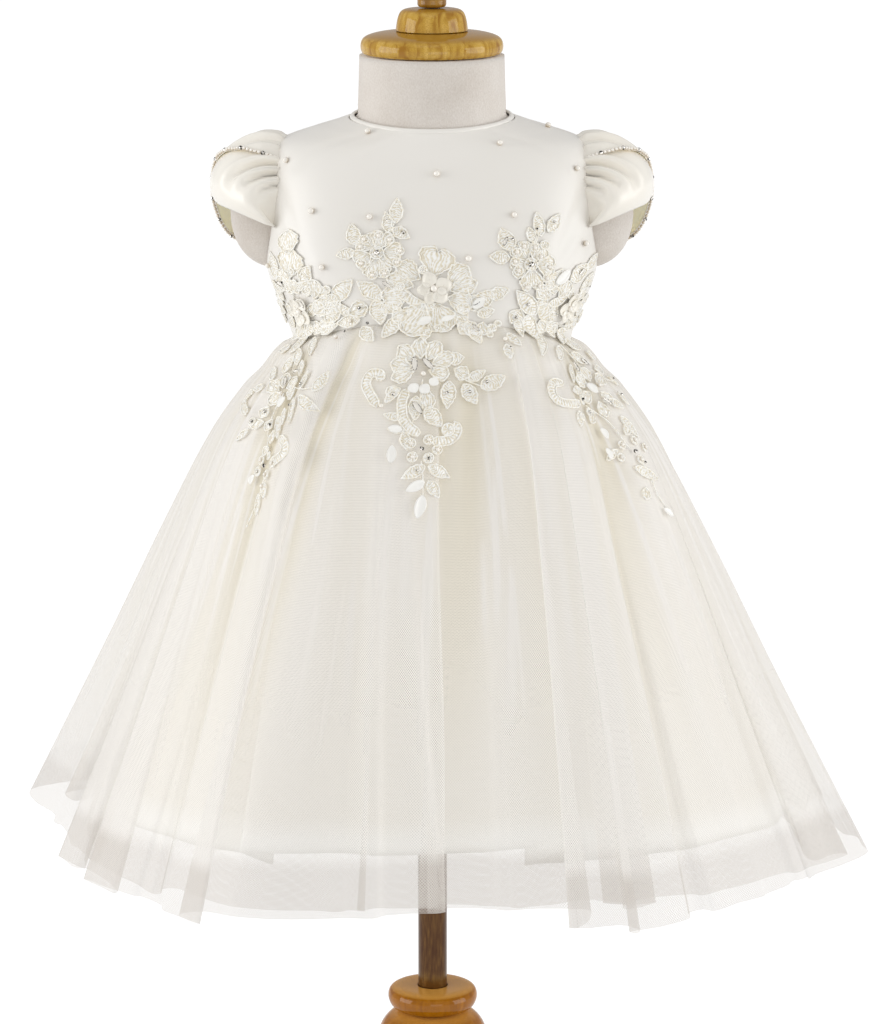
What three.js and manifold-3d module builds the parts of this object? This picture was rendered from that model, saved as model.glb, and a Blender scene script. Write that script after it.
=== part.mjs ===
// A toddler's party dress in ivory satin and tulle, worn by a limbless dress form on a turned wooden stand.
// Millimetres, +Z up. The dress's front faces -Y, its left side is +X, and the origin is under the middle
// of the stand's foot.
import * as THREE from "three";
import { mergeVertices } from "three/addons/utils/BufferGeometryUtils.js";
import Module from "manifold-3d";

const wasm = await Module();
wasm.setup();

// ---------------------------------------------------------------- driving dimensions

const SEAM_GAP = 0.3; // between pieces that meet
const EASE = 1.0; // between the form and the bodice
const LAYER_GAP = 0.6; // between the gathered edges of the skirt's layers
const SATIN_WALL = 1.2;
const TULLE_WALL = 1.0;
const LACE_WALL = 1.0;
const LACE_LIFT = 1.2; // between the lace and the cloth it is sewn to

const BODY_COLUMNS = 36; // steps round the body
const WAIST_HEIGHT = 537; // the waist seam at the sides and back
const WAIST_RISE = 22; // how much higher the seam is at the middle of the front

const ARMHOLE = { y: 1, z: 615.5, halfDepth: 28, halfHeight: 36.5 };
const ARM_STUB = { x: 84, z: 614.5, reach: 28, halfDepth: 24, halfHeight: 32.5 };

const POLE_RADIUS = 8.4;
const POLE_FROM = 125;
const POLE_TO = 446;
const FOOT_RADIUS = 120;
const TURNED_STEPS = 28; // facets round a turned piece

// ---------------------------------------------------------------- tables

// Sections of the form, from its underside to the top of its neck. wide is half the width, front and back
// are the half depths, square is the exponent of the oval, and tilt is how much lower the front lies.
const FORM_SECTIONS = [
  { z: 426, wide: 70, front: 48, back: 52, square: 2.2, tilt: 0 },
  { z: 434, wide: 82, front: 58, back: 62, square: 2.2, tilt: 0 },
  { z: 470, wide: 90, front: 66, back: 68, square: 2.3, tilt: 0 },
  { z: 500, wide: 85, front: 69, back: 62, square: 2.3, tilt: 0 },
  { z: 520, wide: 79, front: 69, back: 57, square: 2.3, tilt: 0 },
  { z: 540, wide: 76.5, front: 68.5, back: 56, square: 2.3, tilt: 0 },
  { z: 560, wide: 83.5, front: 68.5, back: 60, square: 2.3, tilt: 0 },
  { z: 580, wide: 90.5, front: 66.5, back: 64, square: 2.5, tilt: 0 },
  { z: 603, wide: 91, front: 62, back: 65, square: 2.65, tilt: 0 },
  { z: 625, wide: 89.5, front: 56.5, back: 62, square: 2.6, tilt: 0 },
  { z: 641, wide: 87.4, front: 51, back: 57, square: 2.4, tilt: 0 },
  { z: 650, wide: 83.5, front: 47, back: 52, square: 2.1, tilt: 0 },
  { z: 656.8, wide: 67.3, front: 44.5, back: 48, square: 1.85, tilt: 1 },
  { z: 661.7, wide: 53.3, front: 43, back: 45.5, square: 1.9, tilt: 3 },
  { z: 666.8, wide: 42.6, front: 42.2, back: 43.2, square: 2.0, tilt: 5 },
  { z: 675, wide: 41.4, front: 41.4, back: 41.8, square: 2.0, tilt: 3 },
  { z: 699, wide: 40.6, front: 40.6, back: 40.6, square: 2.0, tilt: 0 },
].map((section, row) => ({ row, ...section }));

// The rows, counted in FORM_SECTIONS, through which the form and the bodice run. The bodice starts at the
// waist seam and ends below the neck.
const BODICE_ROWS = [6.5, 7, 8, 9, 10, 10.6, 11, 11.5, 12, 13, 13.6];
const NECKLINE_ROW = BODICE_ROWS.at(-1);
const FORM_ROWS = [0, 1, 2, 3, 4, 5, 6, ...BODICE_ROWS, 14, 14.5, 15, 16];

// How far a skirt layer has moved out from the waist towards the plan of its hem, as shares of the whole way,
// at a share of the way down: at the sides, in front and at the back.
const FLARE = [
  { down: 0, side: 0, front: 0, back: 0 },
  { down: 0.03, side: 0.055, front: 0.075, back: 0.065 },
  { down: 0.065, side: 0.105, front: 0.135, back: 0.12 },
  { down: 0.1, side: 0.17, front: 0.2, back: 0.185 },
  { down: 0.2, side: 0.3, front: 0.345, back: 0.33 },
  { down: 0.39, side: 0.475, front: 0.52, back: 0.5 },
  { down: 0.64, side: 0.685, front: 0.74, back: 0.72 },
  { down: 1, side: 1, front: 1, back: 1 },
];

// How far the hollows between the folds lie from the axis at the hems of the tulle and the satin, by their
// angle from the middle of the front towards the left side (+X), in degrees.
const HEM_PLAN = [
  { at: -180, tulle: 176, satin: 134 },
  { at: -150, tulle: 198, satin: 152 },
  { at: -125, tulle: 231, satin: 180 },
  { at: -105, tulle: 233, satin: 186 },
  { at: -88, tulle: 210, satin: 181 },
  { at: -72, tulle: 213, satin: 179 },
  { at: -55, tulle: 209, satin: 172 },
  { at: -40, tulle: 205, satin: 158 },
  { at: -25, tulle: 182, satin: 139 },
  { at: 0, tulle: 158, satin: 124 },
  { at: 20, tulle: 172, satin: 136 },
  { at: 38, tulle: 209, satin: 158 },
  { at: 55, tulle: 218, satin: 182 },
  { at: 68, tulle: 222, satin: 198 },
  { at: 80, tulle: 244, satin: 201 },
  { at: 100, tulle: 229, satin: 192 },
  { at: 122, tulle: 229, satin: 181 },
  { at: 150, tulle: 199, satin: 154 },
  { at: 180, tulle: 176, satin: 134 },
];

// The largest folds. at is where a ridge lies round the skirt, in degrees from the middle of the front
// towards the left side (+X), half is half its width there, deep is how far it stands out at the hem, and
// from is the share of the way down where it begins.
const SATIN_FOLDS = [
  { at: 0, half: 22, deep: 8, from: 0.1 },
  { at: 38, half: 16, deep: 14, from: 0.2 },
  { at: 76, half: 18, deep: 9, from: 0.15 },
  { at: 118, half: 18, deep: 12, from: 0.2 },
  { at: 160, half: 20, deep: 10, from: 0.1 },
  { at: 203, half: 18, deep: 13, from: 0.2 },
  { at: 244, half: 18, deep: 9, from: 0.15 },
  { at: 284, half: 16, deep: 11, from: 0.2 },
  { at: 324, half: 16, deep: 13, from: 0.15 },
];
const TULLE_FOLDS = [
  { at: 1, half: 12, deep: 5, from: 0.15 },
  { at: 29, half: 10, deep: 20, from: 0.05 },
  { at: 53, half: 12, deep: 9, from: 0.2 },
  { at: 77, half: 12, deep: 14, from: 0.1 },
  { at: 102, half: 12, deep: 9, from: 0.2 },
  { at: 127, half: 12, deep: 15, from: 0.1 },
  { at: 153, half: 13, deep: 10, from: 0.15 },
  { at: 180, half: 12, deep: 14, from: 0.05 },
  { at: 206, half: 13, deep: 9, from: 0.2 },
  { at: 232, half: 13, deep: 13, from: 0.1 },
  { at: 255, half: 11, deep: 9, from: 0.15 },
  { at: 277, half: 11, deep: 13, from: 0.1 },
  { at: 300, half: 11, deep: 8, from: 0.2 },
  { at: 324, half: 10, deep: 17, from: 0.05 },
];

// The three layers of the skirt. plan is the column of HEM_PLAN, planShare and foldShare are the parts of
// that and of the folds that the layer has, hem is the height of its lower edge, and inside is how far its
// inner face lies outside the form at the waist.
const SATIN_SKIRT = {
  plan: "satin",
  planShare: 1,
  folds: SATIN_FOLDS,
  foldShare: 1,
  hem: 269,
  inside: EASE,
  wall: SATIN_WALL,
};
const INNER_TULLE = {
  plan: "tulle",
  planShare: 0.94,
  folds: TULLE_FOLDS,
  foldShare: 0.8,
  hem: 257,
  inside: SATIN_SKIRT.inside + SATIN_SKIRT.wall + LAYER_GAP,
  wall: TULLE_WALL,
};
const OUTER_TULLE = {
  plan: "tulle",
  planShare: 1,
  folds: TULLE_FOLDS,
  foldShare: 1,
  hem: 251,
  inside: INNER_TULLE.inside + INNER_TULLE.wall + LAYER_GAP,
  wall: TULLE_WALL,
};

// The upper edge of the lace on the bodice, by its angle from the middle of the front, in degrees.
const LACE_TOP = [
  { at: -80, z: 562 },
  { at: -70, z: 584 },
  { at: -58, z: 599 },
  { at: -46, z: 590 },
  { at: -38, z: 578 },
  { at: -27, z: 594 },
  { at: -18, z: 612 },
  { at: -8, z: 621 },
  { at: 2, z: 600 },
  { at: 12, z: 597 },
  { at: 22, z: 584 },
  { at: 32, z: 598 },
  { at: 45, z: 611 },
  { at: 54, z: 592 },
  { at: 63, z: 590 },
  { at: 72, z: 580 },
  { at: 80, z: 560 },
];
const LACE_BODICE_PIECES = [
  { name: "lace_bodice_right", from: -80, to: -40 },
  { name: "lace_bodice_centre", from: -40, to: 20 },
  { name: "lace_bodice_left", from: 20, to: 80 },
];

// The lace sprays on the skirt, from the waist seam to the tip. down is the share of the way to the hem,
// at is the angle of the spray's middle in degrees and half is half its width in millimetres.
const LACE_DROPS = {
  lace_drop_centre: [
    { down: 0.012, at: 2, half: 26 },
    { down: 0.07, at: 3, half: 33 },
    { down: 0.12, at: 3, half: 33 },
    { down: 0.17, at: -3, half: 19 },
    { down: 0.24, at: -2, half: 17 },
    { down: 0.29, at: -3, half: 11 },
    { down: 0.33, at: -4, half: 3 },
  ],
  lace_drop_right: [
    { down: 0.012, at: -62, half: 12 },
    { down: 0.05, at: -58, half: 22 },
    { down: 0.11, at: -57, half: 25 },
    { down: 0.16, at: -56, half: 19 },
    { down: 0.22, at: -52, half: 12 },
    { down: 0.27, at: -49, half: 8 },
    { down: 0.31, at: -48, half: 3 },
  ],
  lace_drop_left: [
    { down: 0.012, at: 62, half: 12 },
    { down: 0.05, at: 64, half: 22 },
    { down: 0.11, at: 64, half: 25 },
    { down: 0.16, at: 65, half: 19 },
    { down: 0.22, at: 66, half: 13 },
    { down: 0.27, at: 67, half: 8 },
    { down: 0.31, at: 67, half: 3 },
  ],
};

// The satin rosettes sewn on the lace.
const ROSETTE = { petals: 5, steps: 4, radius: 10.5, notch: 0.28, thick: 2.4 };
const ROSETTES = [
  { name: "rosette_centre", at: 0, z: 578 },
  { name: "rosette_right", at: -57, z: 561 },
  { name: "rosette_left", at: 64, z: 566 },
];

// The back fastening: a strip over the opening, and its buttons.
const PLACKET = { halfWidth: 7, from: 541, to: 661, lift: 0.8 };
const BUTTON = { radius: 4.5, thick: 3, facets: 10, count: 5, first: 553, pitch: 24.5 };

// A sleeve is two petals of one puffed cap, set into the armhole from the front of the underarm over the
// shoulder to the back. It is measured from the middle of the shoulder.
const SLEEVE = {
  seamAngle: 112, // how far round the armhole the seam runs each way, in degrees
  seamMargin: 1.2, // how far outside the armhole's edge the seam lies
  seamDrop: 3, // how much lower on the body the seam's depth is read, where the shoulder turns over
  seamDepth: 5, // how far the cap starts inside the bodice's face, before it is trimmed to it
  seamGap: 0.7, // between the cap and the bodice
  lap: 2, // between the two petals where one covers the other
  hemAngle: 100, // how far round the arm the hem runs each way, in degrees
  hemInner: 92, // how far the hem's ends lie from the middle of the body
  hemReach: 33, // and how much further out its middle lies
  hemHalfDepth: 35,
  hemLow: 604, // the height of the hem at its inner end
  hemSlope: 0.45,
  seamLift: 13, // how far the cap first rises from the seam, away from the armhole's middle
  seamPush: { end: 12, top: 24 }, // and how far it first stands out from the body there
  hemTurnOut: { side: 6, ends: 7 }, // how far the cap bulges past its hem
  hemRise: { end: 4, top: 22 }, // how far above the hem that bulge lies
  gatherDeep: 2,
  gathers: 5.5, // on each side of the middle of the shoulder, counted in half waves
};
// Where a petal's columns lie across the cap, from its free end past the top of the shoulder to its seam.
const PETAL_COLUMNS = [-0.42, -0.34, -0.24, -0.12, 0, 0.12, 0.24, 0.34, 0.42, 0.56, 0.7, 0.85, 1];
// How much of the cap's length a petal has there.
const PETAL_EDGE = [
  { across: -0.42, length: 0.14 },
  { across: -0.34, length: 0.45 },
  { across: -0.24, length: 0.68 },
  { across: -0.12, length: 0.84 },
  { across: 0.06, length: 0.96 },
  { across: 0.24, length: 1 },
  { across: 1, length: 1 },
];

// Turned profiles as radius and height pairs, from the bottom to the top.
const CAP_DISC = [
  [0, 0],
  [36, 0],
  [39, 1.7],
  [40, 5.7],
  [38.4, 9.3],
  [32, 11.7],
  [21, 13.1],
  [0, 13.1],
];
const CAP_DOME = [
  [0, 0],
  [20, 0],
  [19.6, 5],
  [17.6, 9.6],
  [14, 12],
  [0, 12.4],
];
const CAP_KNOB = [
  [0, 0],
  [8.4, 0],
  [8.1, 5],
  [9.6, 8],
  [11.4, 12],
  [11, 17],
  [8, 21.5],
  [4, 23.6],
  [0, 24.2],
];
const STAND_BEAD = [
  [8.8, 0],
  [21, 0],
  [24.6, 3],
  [25.6, 7],
  [24.4, 11],
  [20, 13.4],
  [8.8, 13.8],
];
const STAND_VASE = [
  [0, 0],
  [15, 0],
  [15.4, 8],
  [18, 18],
  [24, 34],
  [30, 48],
  [32, 60],
  [30.4, 70],
  [26, 78],
  [21, 82],
  [8.8, 82],
  [8.8, 64],
  [0, 64],
];
const STAND_FOOT = [
  [0, 0],
  [FOOT_RADIUS - 2, 0],
  [FOOT_RADIUS, 3],
  [FOOT_RADIUS, 12],
  [FOOT_RADIUS - 5, 18],
  [86, 22],
  [58, 26],
  [36, 34],
  [25, 44],
  [24, 50],
  [27, 54],
  [24, 59],
  [0, 59],
];

// ---------------------------------------------------------------- finishes

function finish(color, roughness, metalness = 0) {
  return new THREE.MeshStandardMaterial({ color, roughness, metalness, side: THREE.DoubleSide });
}

const SATIN = finish("#f3efe6", 0.42);
const TULLE = finish("#f5f3ee", 0.8);
const LACE = finish("#f4f0e2", 0.6);
const JERSEY = finish("#e6dfd6", 0.9);
const LACQUERED_WOOD = finish("#b5822f", 0.25);
const BRONZED_STEEL = finish("#5b4632", 0.38, 0.9);
const PEARL = finish("#efe9dc", 0.25);

// ---------------------------------------------------------------- helpers

const radians = THREE.MathUtils.degToRad;

// The value of a column of a table at a place between its rows: a smooth curve through the rows.
function read(table, key, place, column) {
  const at = THREE.MathUtils.clamp(place, table[0][key], table.at(-1)[key]);
  const next = Math.max(1, table.findIndex((row) => row[key] >= at));
  const slope = (i) => {
    const before = table[Math.max(i - 1, 0)];
    const after = table[Math.min(i + 1, table.length - 1)];
    return (after[column] - before[column]) / (after[key] - before[key]);
  };
  const [low, high] = [table[next - 1], table[next]];
  const span = high[key] - low[key];
  const t = (at - low[key]) / span;
  const blend = t * t * (3 - 2 * t);
  const leaving = slope(next - 1) * span * t * (1 - t) * (1 - t);
  const arriving = slope(next) * span * t * t * (1 - t);
  return low[column] + (high[column] - low[column]) * blend + leaving - arriving;
}

// A closed body from points and triangles, turned so that its faces point outwards.
function closedBody(points, triangles) {
  const cross = new THREE.Vector3();
  const volume = triangles.reduce(
    (sum, [a, b, c]) => sum + points[a].dot(cross.crossVectors(points[b], points[c])),
    0,
  );
  const index = triangles.flatMap(([a, b, c]) => (volume > 0 ? [a, b, c] : [a, c, b]));
  return new THREE.BufferGeometry().setFromPoints(points).setIndex(index);
}

// A wall of cloth between two sheets of points. It has `across` steps round the body and `along` steps from
// edge to edge, and a ring closes on itself. inside and outside give a point from two shares, 0 to 1.
function clothWall({ across, along, ring = false, inside, outside }) {
  const columns = ring ? across : across + 1;
  const points = [];
  for (const sheet of [outside, inside]) {
    for (let i = 0; i < columns; i += 1) {
      for (let j = 0; j <= along; j += 1) points.push(sheet(i / across, j / along));
    }
  }
  const at = (layer, i, j) => (layer * columns + (i % columns)) * (along + 1) + j;
  const triangles = [];
  const quad = (a, b, c, d) => triangles.push([a, b, c], [a, c, d]);
  for (let i = 0; i < across; i += 1) {
    for (let j = 0; j < along; j += 1) {
      quad(at(0, i, j), at(0, i + 1, j), at(0, i + 1, j + 1), at(0, i, j + 1));
      quad(at(1, i, j), at(1, i, j + 1), at(1, i + 1, j + 1), at(1, i + 1, j));
    }
    quad(at(0, i, 0), at(1, i, 0), at(1, i + 1, 0), at(0, i + 1, 0));
    quad(at(0, i, along), at(0, i + 1, along), at(1, i + 1, along), at(1, i, along));
  }
  for (let j = 0; j < along && !ring; j += 1) {
    quad(at(0, 0, j), at(0, 0, j + 1), at(1, 0, j + 1), at(1, 0, j));
    quad(at(0, across, j), at(1, across, j), at(1, across, j + 1), at(0, across, j + 1));
  }
  return closedBody(points, triangles);
}

// A solid through rings of equally many points, with a fan at each end.
function loft(rings) {
  const count = rings[0].length;
  const points = rings.flat();
  const at = (ring, i) => ring * count + (i % count);
  const triangles = [];
  for (let ring = 0; ring + 1 < rings.length; ring += 1) {
    for (let i = 0; i < count; i += 1) {
      triangles.push([at(ring, i), at(ring, i + 1), at(ring + 1, i + 1)]);
      triangles.push([at(ring, i), at(ring + 1, i + 1), at(ring + 1, i)]);
    }
  }
  for (const [ring, turn] of [[0, false], [rings.length - 1, true]]) {
    const middle = new THREE.Vector3();
    rings[ring].forEach((point) => middle.addScaledVector(point, 1 / count));
    points.push(middle);
    for (let i = 0; i < count; i += 1) {
      const fan = [points.length - 1, at(ring, i + 1), at(ring, i)];
      triangles.push(turn ? fan.reverse() : fan);
    }
  }
  return closedBody(points, triangles);
}

// A solid for cutting and joining, from a closed geometry.
function solidOf(geometry) {
  const bare = new THREE.BufferGeometry();
  bare.setAttribute("position", geometry.getAttribute("position"));
  bare.setIndex(geometry.getIndex());
  const merged = mergeVertices(bare, 1e-4);
  return new wasm.Manifold(
    new wasm.Mesh({
      numProp: 3,
      vertProperties: new Float32Array(merged.getAttribute("position").array),
      triVerts: new Uint32Array(merged.getIndex().array),
    }),
  );
}

function geometryOf(solid) {
  const mesh = solid.getMesh();
  const geometry = new THREE.BufferGeometry();
  geometry.setAttribute("position", new THREE.BufferAttribute(mesh.vertProperties, 3));
  return geometry.setIndex(new THREE.BufferAttribute(mesh.triVerts, 1));
}

const dressOnForm = new THREE.Group();

function add(name, geometry, material, group = dressOnForm) {
  geometry.computeVertexNormals();
  const mesh = new THREE.Mesh(geometry, material);
  mesh.name = name;
  group.add(mesh);
  return mesh;
}

// A block for cutting, between two corners.
function block(low, high) {
  const size = high.map((value, i) => value - low[i]);
  const box = new THREE.BoxGeometry(...size);
  box.translate(...low.map((value, i) => value + size[i] / 2));
  return solidOf(box);
}

// ---------------------------------------------------------------- the body's surface

// A point of an oval section, at an angle from the middle of the front towards +X.
function ovalPoint(section, angle) {
  const [side, ahead] = [Math.sin(angle), Math.cos(angle)];
  const bend = (value) => Math.sign(value) * Math.abs(value) ** (2 / section.square);
  const depth = ahead > 0 ? section.front : section.back;
  const z = section.z - (section.tilt * (1 + ahead)) / 2;
  return new THREE.Vector3(section.wide * bend(side), -depth * bend(ahead), z);
}

function formSection(row) {
  const columns = ["z", "wide", "front", "back", "square", "tilt"];
  return Object.fromEntries(columns.map((column) => [column, read(FORM_SECTIONS, "row", row, column)]));
}

// The direction straight out of a surface that runs round by angle and up by row.
function outOf(surface, angle, row) {
  const step = 0.01;
  const around = surface(angle + step, row).sub(surface(angle - step, row));
  const up = surface(angle, row + step).sub(surface(angle, row - step));
  return around.cross(up).normalize();
}

// A point of the form's surface, moved straight out of it.
function bodyPoint(angle, row, out = 0) {
  const surface = (a, r) => ovalPoint(formSection(r), a);
  const point = surface(angle, row);
  return out === 0 ? point : point.addScaledVector(outOf(surface, angle, row), out);
}

// The row of FORM_SECTIONS that lies at a height on the trunk.
function rowAt(z) {
  let [low, high] = [0, FORM_SECTIONS.length - 1];
  for (let i = 0; i < 30; i += 1) {
    const middle = (low + high) / 2;
    if (read(FORM_SECTIONS, "row", middle, "z") < z) low = middle;
    else high = middle;
  }
  return (low + high) / 2;
}

function waistHeight(angle) {
  return WAIST_HEIGHT + WAIST_RISE * ((1 + Math.cos(angle)) / 2) ** 3.5;
}

// ---------------------------------------------------------------- dress form and stand

function addForm() {
  const ringOf = (row, out) =>
    Array.from({ length: BODY_COLUMNS }, (_, i) => bodyPoint((i / BODY_COLUMNS) * 2 * Math.PI, row, out));
  const trunk = solidOf(loft(FORM_ROWS.map((row) => ringOf(row, 0))));
  const stubs = [1, -1].map((side) => {
    const ball = new THREE.SphereGeometry(1, 20, 12).rotateZ(Math.PI / 2);
    ball.scale(ARM_STUB.reach, ARM_STUB.halfDepth, ARM_STUB.halfHeight);
    ball.translate(side * ARM_STUB.x, ARMHOLE.y, ARM_STUB.z);
    return solidOf(ball);
  });
  const socket = new THREE.CylinderGeometry(1, 1, 1, TURNED_STEPS).rotateX(Math.PI / 2);
  const socketTop = POLE_TO + SEAM_GAP;
  const bottom = FORM_SECTIONS[0].z - 10;
  socket.scale(POLE_RADIUS + SEAM_GAP, POLE_RADIUS + SEAM_GAP, socketTop - bottom);
  socket.translate(0, 0, (socketTop + bottom) / 2);
  const form = trunk.add(stubs[0]).add(stubs[1]).subtract(solidOf(socket));
  add("form_torso", geometryOf(form), JERSEY);
}

// A turned piece from its profile, with its lowest point at a height on the axis. A profile that is bored
// through closes on itself. It gives the height at which the next piece starts.
function addTurned(name, profile, height, material) {
  const closed = profile[0][0] > 0 ? [...profile, profile[0]] : profile;
  const outline = closed.map(([radius, z]) => new THREE.Vector2(radius, z));
  const turned = new THREE.LatheGeometry(outline, TURNED_STEPS).rotateX(Math.PI / 2);
  add(name, turned, material).position.z = height;
  return height + Math.max(...profile.map(([, z]) => z)) + SEAM_GAP;
}

function addStand() {
  const capFrom = FORM_SECTIONS.at(-1).z + SEAM_GAP;
  const domeFrom = addTurned("cap_disc", CAP_DISC, capFrom, LACQUERED_WOOD);
  const knobFrom = addTurned("cap_dome", CAP_DOME, domeFrom, LACQUERED_WOOD);
  addTurned("cap_knob", CAP_KNOB, knobFrom, LACQUERED_WOOD);
  const pole = new THREE.CylinderGeometry(POLE_RADIUS, POLE_RADIUS, POLE_TO - POLE_FROM, TURNED_STEPS);
  pole.rotateX(Math.PI / 2);
  add("pole", pole, BRONZED_STEEL).position.z = (POLE_FROM + POLE_TO) / 2;
  const vaseFrom = addTurned("stand_foot", STAND_FOOT, 0, LACQUERED_WOOD);
  const beadFrom = addTurned("stand_vase", STAND_VASE, vaseFrom, LACQUERED_WOOD);
  addTurned("stand_bead", STAND_BEAD, beadFrom, LACQUERED_WOOD);
}

// ---------------------------------------------------------------- bodice

// The bodice is one shell on the form, cut open for the arms and then at the shoulders, sides and back.
function addBodice() {
  const sheet = (out) => (share, up) => {
    const angle = share * 2 * Math.PI;
    const step = Math.round(up * BODICE_ROWS.length);
    if (step > 0) return bodyPoint(angle, BODICE_ROWS[step - 1], out);
    const seam = waistHeight(angle) + SEAM_GAP / 2;
    return bodyPoint(angle, rowAt(seam), out).setZ(seam);
  };
  const shell = solidOf(
    clothWall({
      across: BODY_COLUMNS,
      along: BODICE_ROWS.length,
      ring: true,
      inside: sheet(EASE),
      outside: sheet(EASE + SATIN_WALL),
    }),
  );
  const arms = new THREE.CylinderGeometry(1, 1, 1, 32).rotateZ(Math.PI / 2);
  const pastShoulders = 300;
  arms.scale(pastShoulders, ARMHOLE.halfDepth, ARMHOLE.halfHeight);
  arms.translate(0, ARMHOLE.y, ARMHOLE.z);
  const worn = shell.subtract(solidOf(arms));
  const far = 800;
  const edge = SEAM_GAP / 2;
  const panels = {
    bodice_front: block([-far, -far, 0], [far, -edge, far]),
    bodice_back_left: block([edge, edge, 0], [far, far, far]),
    bodice_back_right: block([-far, edge, 0], [-edge, far, far]),
  };
  for (const [name, cutter] of Object.entries(panels)) {
    add(name, geometryOf(worn.intersect(cutter)), SATIN);
  }
}

// A narrow band folded over the bodice's edge all round the neck.
function addNeckBinding() {
  const [low, high] = [NECKLINE_ROW + 0.12, NECKLINE_ROW + 0.4];
  const sheet = (out) => (share, up) => bodyPoint(share * 2 * Math.PI, low + (high - low) * up, out);
  const band = clothWall({
    across: BODY_COLUMNS,
    along: 1,
    ring: true,
    inside: sheet(EASE - 0.2),
    outside: sheet(EASE + SATIN_WALL + 0.4),
  });
  add("neck_binding", band, SATIN);
}

function addBackFastening() {
  const faceOut = EASE + SATIN_WALL + PLACKET.lift;
  const sheet = (out) => (across, up) => {
    const row = rowAt(PLACKET.from) + (rowAt(PLACKET.to) - rowAt(PLACKET.from)) * up;
    const reach = PLACKET.halfWidth / formSection(row).wide;
    return bodyPoint(Math.PI + (across - 0.5) * 2 * reach, row, out);
  };
  const strip = clothWall({
    across: 2,
    along: 8,
    inside: sheet(faceOut),
    outside: sheet(faceOut + SATIN_WALL),
  });
  add("back_placket", strip, SATIN);
  const profile = [
    [0, 0],
    [BUTTON.radius, 0],
    [BUTTON.radius, 1],
    [BUTTON.radius * 0.7, BUTTON.thick * 0.8],
    [0, BUTTON.thick],
  ].map(([radius, height]) => new THREE.Vector2(radius, height));
  const up = new THREE.Vector3(0, 1, 0);
  for (let i = 0; i < BUTTON.count; i += 1) {
    const row = rowAt(BUTTON.first + i * BUTTON.pitch);
    const seat = bodyPoint(Math.PI, row, faceOut + SATIN_WALL);
    const out = bodyPoint(Math.PI, row, faceOut + SATIN_WALL + 1).sub(seat);
    const button = add(`back_button_${i + 1}`, new THREE.LatheGeometry(profile, BUTTON.facets), PEARL);
    button.position.copy(seat.addScaledVector(out, SEAM_GAP + 0.2));
    button.quaternion.setFromUnitVectors(up, out);
  }
}

// ---------------------------------------------------------------- sleeves

// A point of the left sleeve's cap. across runs from -1 at the front of the underarm over the shoulder to
// 1 at the back, and down runs from the armhole to the hem. The cap leaves the armhole outwards and turns
// down to a hem that slopes up and away from the body; each line down it is one Bezier curve.
function capPoint(across, down) {
  const turn = radians(across * SLEEVE.seamAngle);
  const [back, up] = [Math.sin(turn), Math.cos(turn)];
  const seamY = ARMHOLE.y + (ARMHOLE.halfDepth + SLEEVE.seamMargin) * back;
  const seamZ = ARMHOLE.z + (ARMHOLE.halfHeight + SLEEVE.seamMargin) * up;
  const section = formSection(rowAt(seamZ - SLEEVE.seamDrop));
  const depth = back > 0 ? section.back : section.front;
  const inward = Math.max(0, 1 - Math.abs(seamY / depth) ** section.square) ** (1 / section.square);
  const seam = new THREE.Vector3(section.wide * inward - SLEEVE.seamDepth, seamY, seamZ);
  const hemTurn = radians(across * SLEEVE.hemAngle);
  const hemX = SLEEVE.hemInner + SLEEVE.hemReach * Math.cos(hemTurn);
  const hemZ = SLEEVE.hemLow + (hemX - SLEEVE.hemInner) * SLEEVE.hemSlope;
  const hem = new THREE.Vector3(hemX, ARMHOLE.y + SLEEVE.hemHalfDepth * Math.sin(hemTurn), hemZ);
  const endToTop = ({ end, top }) => end + (top - end) * (1 - Math.abs(across));
  const first = seam.clone().add(
    new THREE.Vector3(endToTop(SLEEVE.seamPush), SLEEVE.seamLift * back, SLEEVE.seamLift * up),
  );
  const { side, ends } = SLEEVE.hemTurnOut;
  const second = hem.clone().add(
    new THREE.Vector3(side * Math.cos(hemTurn), ends * Math.sin(hemTurn), endToTop(SLEEVE.hemRise)),
  );
  return new THREE.CubicBezierCurve3(seam, first, second, hem).getPoint(down);
}

// The cap with its gathers, moved straight out of its own surface.
function gatheredCapPoint(across, down, out) {
  const step = 0.01;
  const place = THREE.MathUtils.clamp(down, step, 1 - step);
  const along = capPoint(across, place + step).sub(capPoint(across, place - step));
  const around = capPoint(across + step, place).sub(capPoint(across - step, place));
  const normal = around.cross(along).normalize().negate();
  const wave = Math.sin(Math.PI * SLEEVE.gathers * across);
  const gather = SLEEVE.gatherDeep * wave * (1 - down) * Math.sqrt(down);
  return capPoint(across, down).addScaledVector(normal, out + gather);
}

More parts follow.
